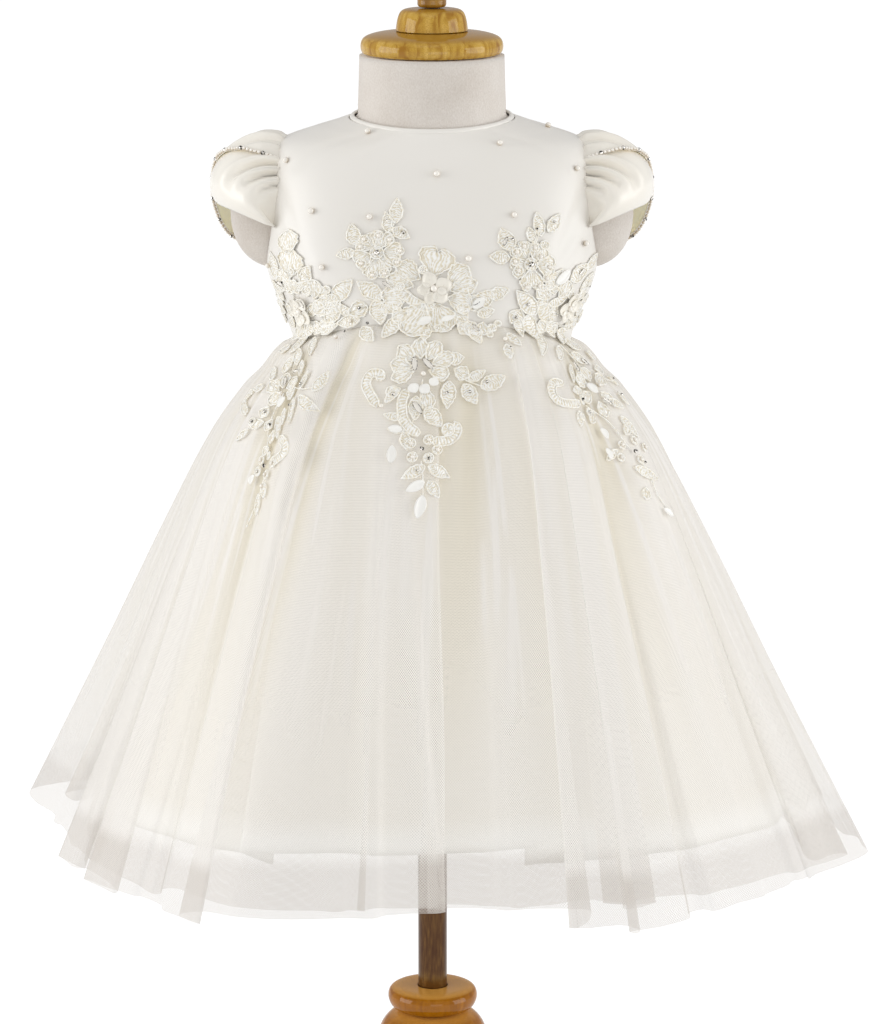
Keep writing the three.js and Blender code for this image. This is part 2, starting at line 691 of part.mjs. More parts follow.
// The left sleeve's petals; the right ones mirror them. The one that covers the back of the arm laps over
// the other at the top of the cap. Each is trimmed where it meets the bodice.
function addSleeves() {
  const clearOfBody = EASE + SATIN_WALL + SLEEVE.seamGap;
  const rowsPastBodice = [6, ...BODICE_ROWS, 14];
  const rings = rowsPastBodice.map((row) =>
    Array.from({ length: BODY_COLUMNS }, (_, i) =>
      bodyPoint((i / BODY_COLUMNS) * 2 * Math.PI, row, clearOfBody),
    ),
  );
  const swollenBody = solidOf(loft(rings));
  const petals = [
    { name: "front_petal", side: -1, out: 0 },
    { name: "back_petal", side: 1, out: SATIN_WALL + SLEEVE.lap },
  ];
  for (const [sleeve, mirror] of [["sleeve_left", 1], ["sleeve_right", -1]]) {
    for (const { name, side, out } of petals) {
      const sheet = (layer) => (share, down) => {
        const across = PETAL_COLUMNS[Math.round(share * (PETAL_COLUMNS.length - 1))];
        const length = read(PETAL_EDGE, "across", across, "length");
        const point = gatheredCapPoint(side * across, down * length, out + layer);
        point.x *= mirror;
        return point;
      };
      const petal = clothWall({
        across: PETAL_COLUMNS.length - 1,
        along: 5,
        inside: sheet(0),
        outside: sheet(SATIN_WALL),
      });
      const trimmed = solidOf(petal).subtract(swollenBody).decompose();
      const largest = trimmed.reduce((most, piece) => (piece.volume() > most.volume() ? piece : most));
      add(`${sleeve}_${name}`, geometryOf(largest), SATIN);
    }
  }
}

// ---------------------------------------------------------------- skirts

// How far the folds stand out, at an angle and a share of the way down.
function foldDepth(layer, angle, down) {
  const degrees = THREE.MathUtils.radToDeg(angle);
  return layer.folds.reduce((sum, fold) => {
    const away = Math.abs(((degrees - fold.at + 540) % 360) - 180) / fold.half;
    const grown = THREE.MathUtils.smoothstep(down, fold.from, 1);
    return away < 1 ? sum + fold.deep * grown * Math.cos((away * Math.PI) / 2) ** 2 : sum;
  }, 0) * layer.foldShare;
}

// A point of a skirt layer's inner face. It starts at the waist seam and flares to its hem.
function skirtSurface(layer, angle, down) {
  const [side, ahead] = [Math.sin(angle), Math.cos(angle)];
  const top = waistHeight(angle) - SEAM_GAP / 2;
  const waist = bodyPoint(angle, rowAt(top), layer.inside);
  const degrees = ((THREE.MathUtils.radToDeg(angle) + 540) % 360) - 180;
  const plan = read(HEM_PLAN, "at", degrees, layer.plan) * layer.planShare;
  const hem = new THREE.Vector3(plan * side, -plan * ahead, layer.hem);
  const middle = read(FLARE, "down", down, ahead > 0 ? "front" : "back");
  const flared = read(FLARE, "down", down, "side") * side ** 2 + middle * ahead ** 2;
  const point = waist.clone().lerp(hem, flared);
  const fold = foldDepth(layer, angle, down);
  return new THREE.Vector3(point.x + fold * side, point.y - fold * ahead, top + (layer.hem - top) * down);
}

// A point of a skirt layer, moved out of its inner face: level near the waist, further down straight out of
// the cloth.
function skirtPoint(layer, angle, down, out) {
  const step = 0.01;
  const place = THREE.MathUtils.clamp(down, step, 1 - step);
  const normal = outOf((a, share) => skirtSurface(layer, a, -share), angle, -place);
  const level = new THREE.Vector3(Math.sin(angle), -Math.cos(angle), 0);
  const direction = level.lerp(normal, THREE.MathUtils.smoothstep(down, 0, 0.15)).normalize();
  return skirtSurface(layer, angle, down).addScaledVector(direction, out);
}

// Where the rows of a skirt lie: close together under the waist, where it flares.
const SKIRT_ROWS = [0, 0.03, 0.08, 0.17, 0.36, 0.65, 1];

// A panel of a skirt layer through columns at angles in degrees, short of its ends by half a seam gap.
function skirtPanel(layer, columns) {
  const last = columns.length - 1;
  const sheet = (out) => (share, rowShare) => {
    const down = SKIRT_ROWS[Math.round(rowShare * (SKIRT_ROWS.length - 1))];
    const column = Math.round(share * last);
    const angle = radians(columns[column]);
    const trim = (column === 0 ? 1 : 0) - (column === last ? 1 : 0);
    const along = new THREE.Vector3(Math.cos(angle), Math.sin(angle), 0);
    return skirtPoint(layer, angle, down, out).addScaledVector(along, (trim * SEAM_GAP) / 2);
  };
  return clothWall({
    across: last,
    along: SKIRT_ROWS.length - 1,
    inside: sheet(0),
    outside: sheet(layer.wall),
  });
}

// The same columns as the bodice has, so that the seam's two edges run together.
function evenColumns(from, to) {
  const step = 360 / BODY_COLUMNS;
  return Array.from({ length: (to - from) / step + 1 }, (_, i) => from + i * step);
}

// Four columns for each fold: its ridge, the hollow after it and one on each slope. They run once round from
// the middle of the back.
function foldColumns(folds) {
  const ridges = folds.map((fold) => ((fold.at + 180) % 360) - 180).sort((a, b) => a - b);
  const columns = ridges.flatMap((ridge, i) => {
    const gap = (i + 1 < ridges.length ? ridges[i + 1] : ridges[0] + 360) - ridge;
    return [ridge, ridge + gap / 4, ridge + gap / 2, ridge + (gap * 3) / 4];
  });
  const inside = columns.map((column) => (column > 180 ? column - 360 : column));
  return [-180, ...inside.filter((column) => Math.abs(column) < 179).sort((a, b) => a - b), 180];
}

function addSkirts() {
  add("underskirt_front", skirtPanel(SATIN_SKIRT, evenColumns(-90, 90)), SATIN);
  add("underskirt_back_left", skirtPanel(SATIN_SKIRT, evenColumns(90, 180)), SATIN);
  add("underskirt_back_right", skirtPanel(SATIN_SKIRT, evenColumns(180, 270)), SATIN);
  add("overskirt_tulle_inner", skirtPanel(INNER_TULLE, foldColumns(TULLE_FOLDS)), TULLE);
  add("overskirt_tulle_outer", skirtPanel(OUTER_TULLE, foldColumns(TULLE_FOLDS)), TULLE);
}

// ---------------------------------------------------------------- lace and rosettes

function addBodiceLace() {
  const faceOut = EASE + SATIN_WALL + LACE_LIFT;
  const clearOfSkirt = 1.5;
  for (const { name, from, to } of LACE_BODICE_PIECES) {
    const trim = SEAM_GAP / 2;
    const sheet = (out) => (share, up) => {
      const degrees = from + (to - from) * share;
      const low = waistHeight(radians(degrees)) + clearOfSkirt;
      const row = rowAt(low + (read(LACE_TOP, "at", degrees, "z") - low) * up);
      const turned = (share === 0 ? 1 : 0) - (share === 1 ? 1 : 0);
      return bodyPoint(radians(degrees + turned * trim), row, out);
    };
    const patch = clothWall({
      across: ((to - from) / 360) * BODY_COLUMNS,
      along: 7,
      inside: sheet(faceOut),
      outside: sheet(faceOut + LACE_WALL),
    });
    add(name, patch, LACE);
  }
}

function addSkirtLace() {
  const faceOut = OUTER_TULLE.wall + 1.6 * LACE_LIFT;
  for (const [name, table] of Object.entries(LACE_DROPS)) {
    const sheet = (out) => (across, along) => {
      const down = table[0].down + (table.at(-1).down - table[0].down) * along;
      const middle = radians(read(table, "down", down, "at"));
      const spot = skirtPoint(OUTER_TULLE, middle, down, 0);
      const reach = read(table, "down", down, "half") / Math.hypot(spot.x, spot.y);
      return skirtPoint(OUTER_TULLE, middle + (across - 0.5) * 2 * reach, down, out);
    };
    const spray = clothWall({
      across: 4,
      along: 6,
      inside: sheet(faceOut),
      outside: sheet(faceOut + LACE_WALL),
    });
    add(name, spray, LACE);
  }
}

// A five-petalled satin flower, flat on the lace.
function addRosettes() {
  const { petals, steps, radius, notch, thick } = ROSETTE;
  const outline = Array.from({ length: petals * steps }, (_, i) => {
    const turn = (i / (petals * steps)) * 2 * Math.PI;
    const reach = radius * (1 - notch * (1 - Math.abs(Math.cos((turn * petals) / 2))));
    return new THREE.Vector2(reach * Math.cos(turn), reach * Math.sin(turn));
  });
  const seatOut = EASE + SATIN_WALL + LACE_LIFT + LACE_WALL;
  const up = new THREE.Vector3(0, 0, 1);
  const gapOverCurve = 0.8;
  for (const { name, at, z } of ROSETTES) {
    const flower = new THREE.ExtrudeGeometry(new THREE.Shape(outline), {
      depth: thick,
      bevelEnabled: false,
    });
    const seat = bodyPoint(radians(at), rowAt(z), seatOut);
    const out = bodyPoint(radians(at), rowAt(z), seatOut + 1).sub(seat);
    const rosette = add(name, flower, SATIN);
    rosette.position.copy(seat.addScaledVector(out, gapOverCurve));
    rosette.quaternion.setFromUnitVectors(up, out);
  }
}

addForm();
addStand();
addBodice();
addNeckBinding();
addBackFastening();
addSleeves();
addSkirts();
addBodiceLace();
addSkirtLace();
addRosettes();

export default dressOnForm;
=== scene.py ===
# A toddler's party dress in ivory satin and tulle, worn by a limbless dress form on a turned wooden stand.
# It stands on the middle of its foot, +Z up. The dress's front faces -Y and its left side is +X.
# Tables and shapes are in millimetres, and angles run from the middle of the front towards the left side.
import bmesh
import bpy
import numpy as np
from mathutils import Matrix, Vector


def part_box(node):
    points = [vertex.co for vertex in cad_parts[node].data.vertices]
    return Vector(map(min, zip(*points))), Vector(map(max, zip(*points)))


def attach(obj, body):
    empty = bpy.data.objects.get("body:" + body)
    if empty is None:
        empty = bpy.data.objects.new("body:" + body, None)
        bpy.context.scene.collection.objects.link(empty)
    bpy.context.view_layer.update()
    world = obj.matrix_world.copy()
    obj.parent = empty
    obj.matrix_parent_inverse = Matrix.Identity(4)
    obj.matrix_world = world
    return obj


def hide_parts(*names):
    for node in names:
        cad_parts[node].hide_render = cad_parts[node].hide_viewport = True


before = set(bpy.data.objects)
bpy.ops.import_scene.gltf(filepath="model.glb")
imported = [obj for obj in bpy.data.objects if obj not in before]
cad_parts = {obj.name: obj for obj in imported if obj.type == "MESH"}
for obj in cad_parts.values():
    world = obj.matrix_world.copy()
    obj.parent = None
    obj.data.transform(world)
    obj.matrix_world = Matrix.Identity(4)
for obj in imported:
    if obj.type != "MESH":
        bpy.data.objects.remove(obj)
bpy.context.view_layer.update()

# ------------------------------------------------------------------ the dress form
# A child's torso of foam under a cotton jersey cover, with a neck and two padded arm stubs. It carries the
# dress, which hides all of it but the neck and the stubs.

# height, half width, half depth in front and behind, squareness of the oval, how much lower its front lies
FORM_SECTIONS = np.array([
    (426, 70, 48, 52, 2.2, 0),
    (434, 82, 58, 62, 2.2, 0),
    (470, 90, 66, 68, 2.3, 0),
    (500, 85, 69, 62, 2.3, 0),
    (520, 79, 69, 57, 2.3, 0),
    (540, 76.5, 68.5, 56, 2.3, 0),
    (560, 83.5, 68.5, 60, 2.3, 0),
    (580, 90.5, 66.5, 64, 2.5, 0),
    (603, 91, 62, 65, 2.65, 0),
    (625, 89.5, 56.5, 62, 2.6, 0),
    (641, 87.4, 51, 57, 2.4, 0),
    (650, 83.5, 47, 52, 2.1, 0),
    (656.8, 67.3, 44.5, 48, 1.85, 1),
    (661.7, 53.3, 43, 45.5, 1.9, 3),
    (666.8, 42.6, 42.2, 43.2, 2.0, 5),
    (675, 41.4, 41.4, 41.8, 2.0, 3),
    (699, 40.6, 40.6, 40.6, 2.0, 0),
], float)
ARM_STUB = {
    "x": 84, "y": 1, "z": 613.5, "reach": 29.5, "half_depth": 24, "half_height": 34.5, "bluntness": 0.85,
}
CLOSED = (1e-5, 1e-5, 1)  # shrinks a row of points into the pole that closes an end
EVENNESS = 1.2  # spreads points along an oval's flat sides
MM = 0.001
MERGED = 1e-6  # in metres: points closer together than this become one


def smooth_curve(keys, values, at):
    """Values between the rows of a table: a cubic that leaves and reaches each row with the slope of the
    straight line between that row's two neighbours."""
    keys, values = np.asarray(keys, float), np.asarray(values, float)
    at = np.clip(at, keys[0], keys[-1])
    low = np.clip(np.searchsorted(keys, at) - 1, 0, len(keys) - 2)
    before = np.maximum(np.arange(len(keys)) - 1, 0)
    after = np.minimum(np.arange(len(keys)) + 1, len(keys) - 1)
    slope = (values[after] - values[before]) / (keys[after] - keys[before])
    span = keys[low + 1] - keys[low]
    t = (at - keys[low]) / span
    eased = values[low] + (values[low + 1] - values[low]) * t * t * (3 - 2 * t)
    return eased + slope[low] * span * t * (1 - t) ** 2 - slope[low + 1] * span * t * t * (1 - t)


def form_values(row):
    """The six values of FORM_SECTIONS at a row, or at a share of the way to the next."""
    return [smooth_curve(np.arange(len(FORM_SECTIONS)), column, row) for column in FORM_SECTIONS.T]


def form_surface(angle, row):
    """A point of the form: x is the half width times the sine, and y the half depth times the cosine, each
    of the angle and to the power 2 over the squareness; the front lies lower by its tilt."""
    z, wide, front, back, square, tilt = form_values(row)
    side, ahead = np.sin(angle), np.cos(angle)
    x = wide * np.sign(side) * np.abs(side) ** (2 / square)
    y = -np.where(ahead > 0, front, back) * np.sign(ahead) * np.abs(ahead) ** (2 / square)
    return np.stack([x, y, z - tilt * (1 + ahead) / 2], -1)


def even(turn):
    """Angles that lie evenly along an oval with flat sides: the sine and cosine, to the power EVENNESS."""
    side, ahead = np.sin(turn), np.cos(turn)
    return np.arctan2(np.sign(side) * np.abs(side) ** EVENNESS, np.sign(ahead) * np.abs(ahead) ** EVENNESS)


def circle(sides):
    """Even angles once round, in as many steps as there are sides."""
    return np.linspace(0, 2 * np.pi, sides, endpoint=False)


def ball(rounds, sides):
    """A ball of radius 1, in rounds of points from its lower pole to its upper one: the cosine of the angle
    up times the cosine and the sine of the way round, and the sine of the angle up."""
    up, turn = np.meshgrid(np.linspace(-np.pi / 2, np.pi / 2, rounds), circle(sides), indexing="ij")
    return np.stack([np.cos(up) * np.cos(turn), np.cos(up) * np.sin(turn), np.sin(up)], -1)


def joined(grids):
    """One list of points and faces out of several. Each is (points, faces)."""
    starts = np.cumsum([0] + [len(points) for points, _ in grids])
    faces = [faces + start for (_, faces), start in zip(grids, starts)]
    return np.concatenate([points for points, _ in grids]), np.concatenate(faces)


def quads(points, ring=False, loop=False):
    """Points and faces of grids (..., rows, columns, 3). On a ring the columns close, on a loop the rows."""
    rows, columns = points.shape[-3:-1]
    index = np.arange(rows * columns).reshape(rows, columns)
    index = np.hstack([index, index[:, :1]]) if ring else index
    index = np.vstack([index, index[:1]]) if loop else index
    face = np.stack([index[:-1, :-1], index[:-1, 1:], index[1:, 1:], index[1:, :-1]], -1).reshape(-1, 4)
    count = points.size // (rows * columns * 3)
    face = (face + np.arange(count)[:, None, None] * rows * columns).reshape(-1, 4)
    return points.reshape(-1, 3), face


def piece(name, points, faces, material, slot, uv=None, smooth=True, merge=False, thick=0.0, **values):
    """A mesh object of these points and faces, riding on the part. uv gives a pair for each face's corner,
    merge closes poles and seams, thick is the wall that is added inwards, and values are point attributes."""
    mesh = bpy.data.meshes.new(name)
    mesh.vertices.add(len(points))
    mesh.vertices.foreach_set("co", (points * MM).ravel())
    mesh.loops.add(faces.size)
    mesh.loops.foreach_set("vertex_index", faces.ravel())
    mesh.polygons.add(len(faces))
    mesh.polygons.foreach_set("loop_start", np.arange(0, faces.size, faces.shape[1]))
    mesh.update(calc_edges=True)
    if uv is not None:
        mesh.uv_layers.new(name="cloth").data.foreach_set("uv", uv.ravel())
    for key, value in values.items():
        mesh.attributes.new(key, "FLOAT", "POINT").data.foreach_set("value", np.ravel(value))
    if merge:
        shape = bmesh.new()
        shape.from_mesh(mesh)
        bmesh.ops.remove_doubles(shape, verts=shape.verts, dist=MERGED)
        shape.to_mesh(mesh)
        shape.free()
    if smooth:
        mesh.shade_smooth()
    mesh.materials.append(material)
    made = bpy.data.objects.new(name, mesh)
    bpy.context.scene.collection.objects.link(made)
    if thick:
        wall = made.modifiers.new("wall", "SOLIDIFY")
        wall.thickness = thick * MM
        wall.offset = -1
    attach(made, "root")
    return made


def srgb(red, green, blue):
    """A colour from its three display values, 0 to 255, as the renderer takes it."""
    share = np.array([red, green, blue]) / 255
    linear = np.where(share < 0.04045, share / 12.92, ((share + 0.055) / 1.055) ** 2.4)
    return (*linear, 1.0)


def finish(name, color, **settings):
    """A material with one Principled shader. It gives the material and a maker of nodes for it."""
    material = bpy.data.materials.new(name)
    material.use_nodes = True
    tree = material.node_tree
    shader = tree.nodes["Principled BSDF"]
    shader.inputs["Base Color"].default_value = color
    for key, value in settings.items():
        shader.inputs[key.replace("_", " ")].default_value = value

    def node(kind, values=(), into=None, out=0, **options):
        """A node with its inputs set, or linked where a value is another node's output. Its output number
        `out` goes into the shader's input of that name."""
        made = tree.nodes.new("ShaderNode" + kind)
        for key, value in options.items():
            setattr(made, key, value)
        for key, value in dict(values).items():
            if isinstance(value, bpy.types.NodeSocket):
                tree.links.new(value, made.inputs[key])
            else:
                made.inputs[key].default_value = value
        if into:
            tree.links.new(made.outputs[out], shader.inputs[into])
        return made.outputs

    return material, node


def object_space(node, scale=(1, 1, 1)):
    """Object coordinates, stretched by a scale along each axis."""
    place = node("TexCoord")["Object"]
    return node("Mapping", {"Vector": place, "Scale": scale})[0]


def noise(node, scale=5.0, detail=2.0, stretch=(1, 1, 1), distortion=0.0):
    """Soft noise in space, from 0 to 1, finer with the scale and along each stretched axis."""
    place = object_space(node, stretch)
    values = {"Vector": place, "Scale": scale, "Detail": detail, "Distortion": distortion}
    return node("TexNoise", values)[0]


def maths(node, operation, *values):
    """One sum on one, two or three values."""
    return node("Math", dict(enumerate(values)), operation=operation)[0]


def between(node, value, start, end, low=0.0, high=1.0, into=None):
    """How far a value has come from start to end, as a number from low to high."""
    limits = {"Value": value, "From Min": start, "From Max": end, "To Min": low, "To Max": high}
    return node("MapRange", limits, into=into)[0]


def blend(node, share, first, second, into=None):
    """A share of the way from one colour to another: the node's inputs 6 and 7, and its output 2."""
    return node("Mix", {0: share, 6: first, 7: second}, into=into, out=2, data_type="RGBA")[2]


def jersey():
    """Fine knitted cotton: short upright loops in rows, a few fibres lighter and darker than the rest."""
    material, node = finish("cotton_jersey", srgb(219, 211, 201), Roughness=0.9, Sheen_Weight=0.25)
    loops = noise(node, 1500.0, detail=3.0, stretch=(1, 1, 0.6))
    share = between(node, maths(node, "ADD", loops, noise(node, 26.0)), 0.6, 1.4)
    blend(node, share, srgb(204, 194, 183), srgb(229, 223, 216), into="Base Color")
    node("Bump", {"Height": loops, "Strength": 0.5, "Distance": 0.0003}, into="Normal")
    return material


turn, row = np.meshgrid(circle(180) - np.pi, np.linspace(0, len(FORM_SECTIONS) - 1, 129))
trunk = form_surface(even(turn), row)
trunk = np.concatenate([trunk[:1] * CLOSED, trunk, trunk[-1:] * CLOSED])
stub = ball(33, 48)
stub = np.sign(stub) * np.abs(stub) ** ARM_STUB["bluntness"]
stub = stub * (ARM_STUB["reach"], ARM_STUB["half_depth"], ARM_STUB["half_height"])
place = np.array([ARM_STUB["x"], ARM_STUB["y"], ARM_STUB["z"]])
torso_shapes = [quads(trunk, ring=True)]
torso_shapes += [quads(stub + place * (side, 1, 1), ring=True) for side in (1, -1)]
torso = piece("jersey_torso", *joined(torso_shapes), jersey(), "jersey", merge=True)
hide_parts("form_torso")

# ------------------------------------------------------------------ the neck cap and the stand
# Beech turned on a lathe and lacquered: the cap is a disc, a dome and a knob pegged together; the stand is
# a foot, a vase and a bead, which a bronzed steel tube runs through into the torso.

# Outlines as radius and height, from the bottom to the top.
CAP_DISC = [(0, 0), (36, 0), (39.6, 1.2), (40.2, 6), (38.4, 9.8), (32, 11.9), (21, 13.1), (0, 13.1)]
CAP_DOME = [(0, 0), (19.6, 0), (20.2, 0), (20.2, 0.6), (19.4, 6.5), (17.6, 11), (13.5, 12.4), (0, 12.4)]
CAP_KNOB = [(0, 0), (8.4, 0), (7.9, 5), (10, 8), (12, 13), (11, 18.5), (8, 22.5), (4, 24.2), (0, 24.2)]
STAND_BEAD = [
    (8.6, 0), (19, 0), (24, 1.5), (26, 6), (26, 9.5), (24.4, 12.6), (20, 13.8), (9.2, 13.8), (8.6, 13.5),
    (8.6, 12),
]
STAND_VASE = [
    (0, 0), (15, 0), (15.2, 8), (18, 18), (24, 34), (31, 49), (33, 62), (30, 74), (21, 82), (8.6, 82),
    (8.6, 64), (0, 64),
]
STAND_FOOT = [
    (0, 0), (118, 0), (120, 2), (120, 14), (113, 19), (86, 22), (58, 26), (36, 33), (24, 44), (23, 50),
    (28.5, 54), (23, 59), (0, 59),
]
POLE_RADIUS = 8.4
POLE_BRASSY = {"below": 0.157, "clear": 0.166, "share": 0.55}  # heights in metres


def rounded(corners, reach, steps=6):
    """An outline with rounded corners. Each corner becomes a quadratic curve between the two points that lie
    `reach` before and after it, or halfway to the next corner."""
    corners = np.array(corners, float)
    before, corner, after = corners[:-2], corners[1:-1], corners[2:]
    length = [np.linalg.norm(end - corner, axis=1, keepdims=True) for end in (before, after)]
    start = corner + (before - corner) * np.minimum(0.5, reach / length[0])
    end = corner + (after - corner) * np.minimum(0.5, reach / length[1])
    t = np.linspace(0, 1, steps)[:, None, None]
    curve = (1 - t) ** 2 * start + 2 * t * (1 - t) * corner + t * t * end
    return np.concatenate([corners[:1], curve.transpose(1, 0, 2).reshape(-1, 2), corners[-1:]])


def turned(name, node_name, outline, material, slot, reach, steps=96):
    """A turned piece: its rounded outline carried once round the axis, from the height of its CAD node."""
    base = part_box(node_name)[0].z / MM
    bored = [outline[0]] if outline[0][0] > 0 else []
    radius, height = rounded(outline + bored, reach).T[:, :, None]
    angle = circle(steps)
    points = np.stack(np.broadcast_arrays(radius * np.sin(angle), -radius * np.cos(angle), height + base), -1)
    made = piece(name, *quads(points, ring=True), material, slot, merge=True)
    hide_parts(node_name)


def toned(node, share, stops, into=None):
    """A colour that passes through the given ones, each at its place from 0 to 1."""
    made = node("ValToRGB", {"Fac": share}, into=into)[0]
    ramp = made.node.color_ramp.elements
    for stop, (place, colour) in zip(ramp, (stops[0], stops[-1])):
        stop.position, stop.color = place, colour
    for place, colour in stops[1:-1]:
        ramp.new(place).color = colour
    return made


def lacquered_wood(name, pale, mid, dark, end, grain=(42, 42, 7), open_end=1.0):
    """Beech under a glossy lacquer: streaks along the piece, speckled with fine pores, and another tone on
    the end grain, which the faces show that look up; that tone is partly painted light, darker on the cap and
    lighter on the stand. open_end is the share of it that they take."""
    coat = {"Coat_Weight": 0.65, "Coat_Roughness": 0.06}
    material, node = finish(name, mid, Roughness=0.5, Specular_IOR_Level=0.0, **coat)
    streaks = noise(node, detail=5.0, stretch=grain, distortion=0.8)
    grained = toned(node, streaks, [(0.34, dark), (0.5, mid), (0.66, pale)])
    # the faces that look up take the end tone, which is end grain and partly painted light on those tops
    upward = node("SeparateXYZ", {0: node("NewGeometry")["Normal"]})[2]
    body = blend(node, between(node, upward, 0.7, 0.97, high=open_end), grained, end)
    pores = noise(node, stretch=(900, 900, 260))
    blend(node, between(node, pores, 0.54, 0.38, high=0.6), body, dark, into="Base Color")
    node("Bump", {"Height": pores, "Strength": 0.15, "Distance": 0.0002}, into="Normal")
    return material


def bronzed_steel():
    """Brown lacquer over steel, streaked along the tube, and of a brassier tone at its foot."""
    material, node = finish("bronzed_steel", srgb(88, 62, 38), Metallic=0.8, Roughness=0.24)
    streaks = noise(node, detail=8.0, stretch=(160, 160, 24))
    height = node("SeparateXYZ", {0: node("TexCoord")["Object"]})[2]
    # brassier towards the tube's foot
    brassy = between(node, height, POLE_BRASSY["below"], POLE_BRASSY["clear"], POLE_BRASSY["share"], 0.0)
    tones = [(0.35, srgb(74, 48, 31)), (0.6, srgb(92, 65, 39)), (0.95, srgb(122, 92, 48))]
    toned(node, maths(node, "ADD", streaks, brassy), tones, into="Base Color")
    return material


# the end-grain tone of the faces that look up is partly painted light: darker on the cap's disc and dome,
# lighter on the knob and the stand
WOODS = {  # pale, mid and dark streaks, end grain; the foot's grain lies flat, so little of it is end grain
    "cap_wood": (srgb(218, 180, 90), srgb(200, 160, 66), srgb(160, 112, 32), srgb(176, 132, 50)),
    # the knob is the cap's beech painted darker: painted shade for its shaded, inward-curved neck
    "knob_wood_painted_shade": (srgb(180, 136, 54), srgb(158, 114, 38), srgb(128, 86, 20), srgb(172, 128, 50)),
    "stand_wood": (srgb(180, 116, 16), srgb(170, 106, 8), srgb(152, 92, 6), srgb(232, 172, 84)),
    "foot_wood": (
        srgb(188, 126, 38), srgb(168, 106, 20), srgb(142, 84, 8), srgb(206, 144, 56), (7, 60, 60), 0.3,
    ),
}
TURNED = [  # name, CAD node, outline, wood, and the reach of its rounded corners
    ("wood_cap_disc", "cap_disc", CAP_DISC, "cap_wood", 4),
    ("wood_cap_dome", "cap_dome", CAP_DOME, "cap_wood", 4),
    ("wood_cap_knob", "cap_knob", CAP_KNOB, "knob_wood_painted_shade", 4),
    ("wood_stand_bead", "stand_bead", STAND_BEAD, "stand_wood", 3),
    ("wood_stand_vase", "stand_vase", STAND_VASE, "stand_wood", 9),
    ("wood_stand_foot", "stand_foot", STAND_FOOT, "foot_wood", 6),
]
woods = {name: lacquered_wood(name, *tones) for name, tones in WOODS.items()}
for name, node_name, outline, wood, reach in TURNED:
    turned(name, node_name, outline, woods[wood], "lacquered_wood", reach)
pole_low, pole_high = (corner.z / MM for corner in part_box("pole"))
pole_outline = [(0, 0), (POLE_RADIUS, 0), (POLE_RADIUS, pole_high - pole_low), (0, pole_high - pole_low)]
turned("steel_pole", "pole", pole_outline, bronzed_steel(), "bronzed_steel", reach=0.4, steps=64)

# ------------------------------------------------------------------ the bodice
# Duchess satin in three panels, front and two backs, sewn at the shoulders and sides. The armholes are cut
# out of their sides, and the lower edge is the high waist seam, which rises in front.

EASE = 1.0  # between the form and the cloth
SATIN_WALL = 1.2
SEAM_GAP = 0.3
WAIST = {"height": 537, "rise": 22, "narrowness": 3.5}
ARMHOLE = {"y": 1, "z": 615.5, "half_depth": 28, "half_height": 36.5}
NECK_ROW = 13.62  # the row of the form where the cloth ends
ABOVE_ARMHOLE = 653.5  # the height where the even rows over the shoulder begin
BACK_GAP = 0.003  # half the opening behind, in radians
SATIN_THICK = 1.0  # of the cloth as it shows, within its wall
BODY_RADIUS = 88  # turns radians round the body into millimetres, for the creases
# Creases, in millimetres round the body and up it: from, to, half width, and depth where negative.
FRONT_CREASES = [
    (70, 600, 98, 626, 5.0, -1.5),
    (62, 590, 96, 612, 4.5, -1.2),
    (74, 588, 102, 602, 4.0, -1.1),
    (-72, 602, -98, 628, 5.0, -1.1),
    (-66, 592, -99, 608, 4.5, -1.3),
    (-60, 656, -84, 640, 4.5, -1.0),
    (58, 658, 82, 641, 4.0, -0.8),
    (-30, 658, -42, 648, 6.0, 0.9),
    (-12, 634, -22, 600, 16.0, -0.8),
    (22, 640, 30, 598, 15.0, 0.7),
    (-46, 566, -92, 584, 5.0, -1.0),
    (44, 570, 90, 588, 5.5, -0.9),
    (-8, 566, -26, 574, 6.0, -0.7),
]
BACK_CREASES = [
    (206, 604, 180, 630, 5.0, -1.5),
    (212, 588, 178, 610, 4.5, -1.1),
    (196, 580, 172, 592, 5.0, -1.2),
    (236, 632, 250, 572, 12.0, -1.1),
    (222, 560, 190, 574, 5.5, -1.0),
]


def row_at(height):
    """The row of FORM_SECTIONS, with its share of the way to the next, that lies at a height."""
    rows = np.linspace(0, len(FORM_SECTIONS) - 1, 2000)
    return np.interp(height, form_values(rows)[0], rows)


def waist_height(angle):
    """The height of the waist seam: highest in front, as a power of how far round the place faces front."""
    return WAIST["height"] + WAIST["rise"] * ((1 + np.cos(angle)) / 2) ** WAIST["narrowness"]


def unit(way):
    """A way with its length brought to 1."""
    return way / np.maximum(np.linalg.norm(way, axis=-1, keepdims=True), 1e-9)


def normal_at(surface, a, b, step=0.01):
    """The way straight out of a surface that runs round by a and up by b, and the way up it."""
    around = surface(a + step, b) - surface(a - step, b)
    up = surface(a, b + step) - surface(a, b - step)
    return unit(np.cross(around, up)), unit(up)


def creases(across, height, table):
    """Soft troughs and ridges. Each has a bell-shaped section and runs straight from one place to another,
    shallower towards its ends."""
    total = np.zeros_like(across)
    for x0, z0, x1, z1, half, deep in table:
        length = np.hypot(x1 - x0, z1 - z0)
        along = ((across - x0) * (x1 - x0) + (height - z0) * (z1 - z0)) / length**2
        near = np.clip(along, 0, 1)
        away = np.hypot(across - x0 - near * (x1 - x0), height - z0 - near * (z1 - z0))
        total += deep * np.exp(-((away / half) ** 2)) * (1 - 0.5 * (2 * near - 1) ** 2)
    return total


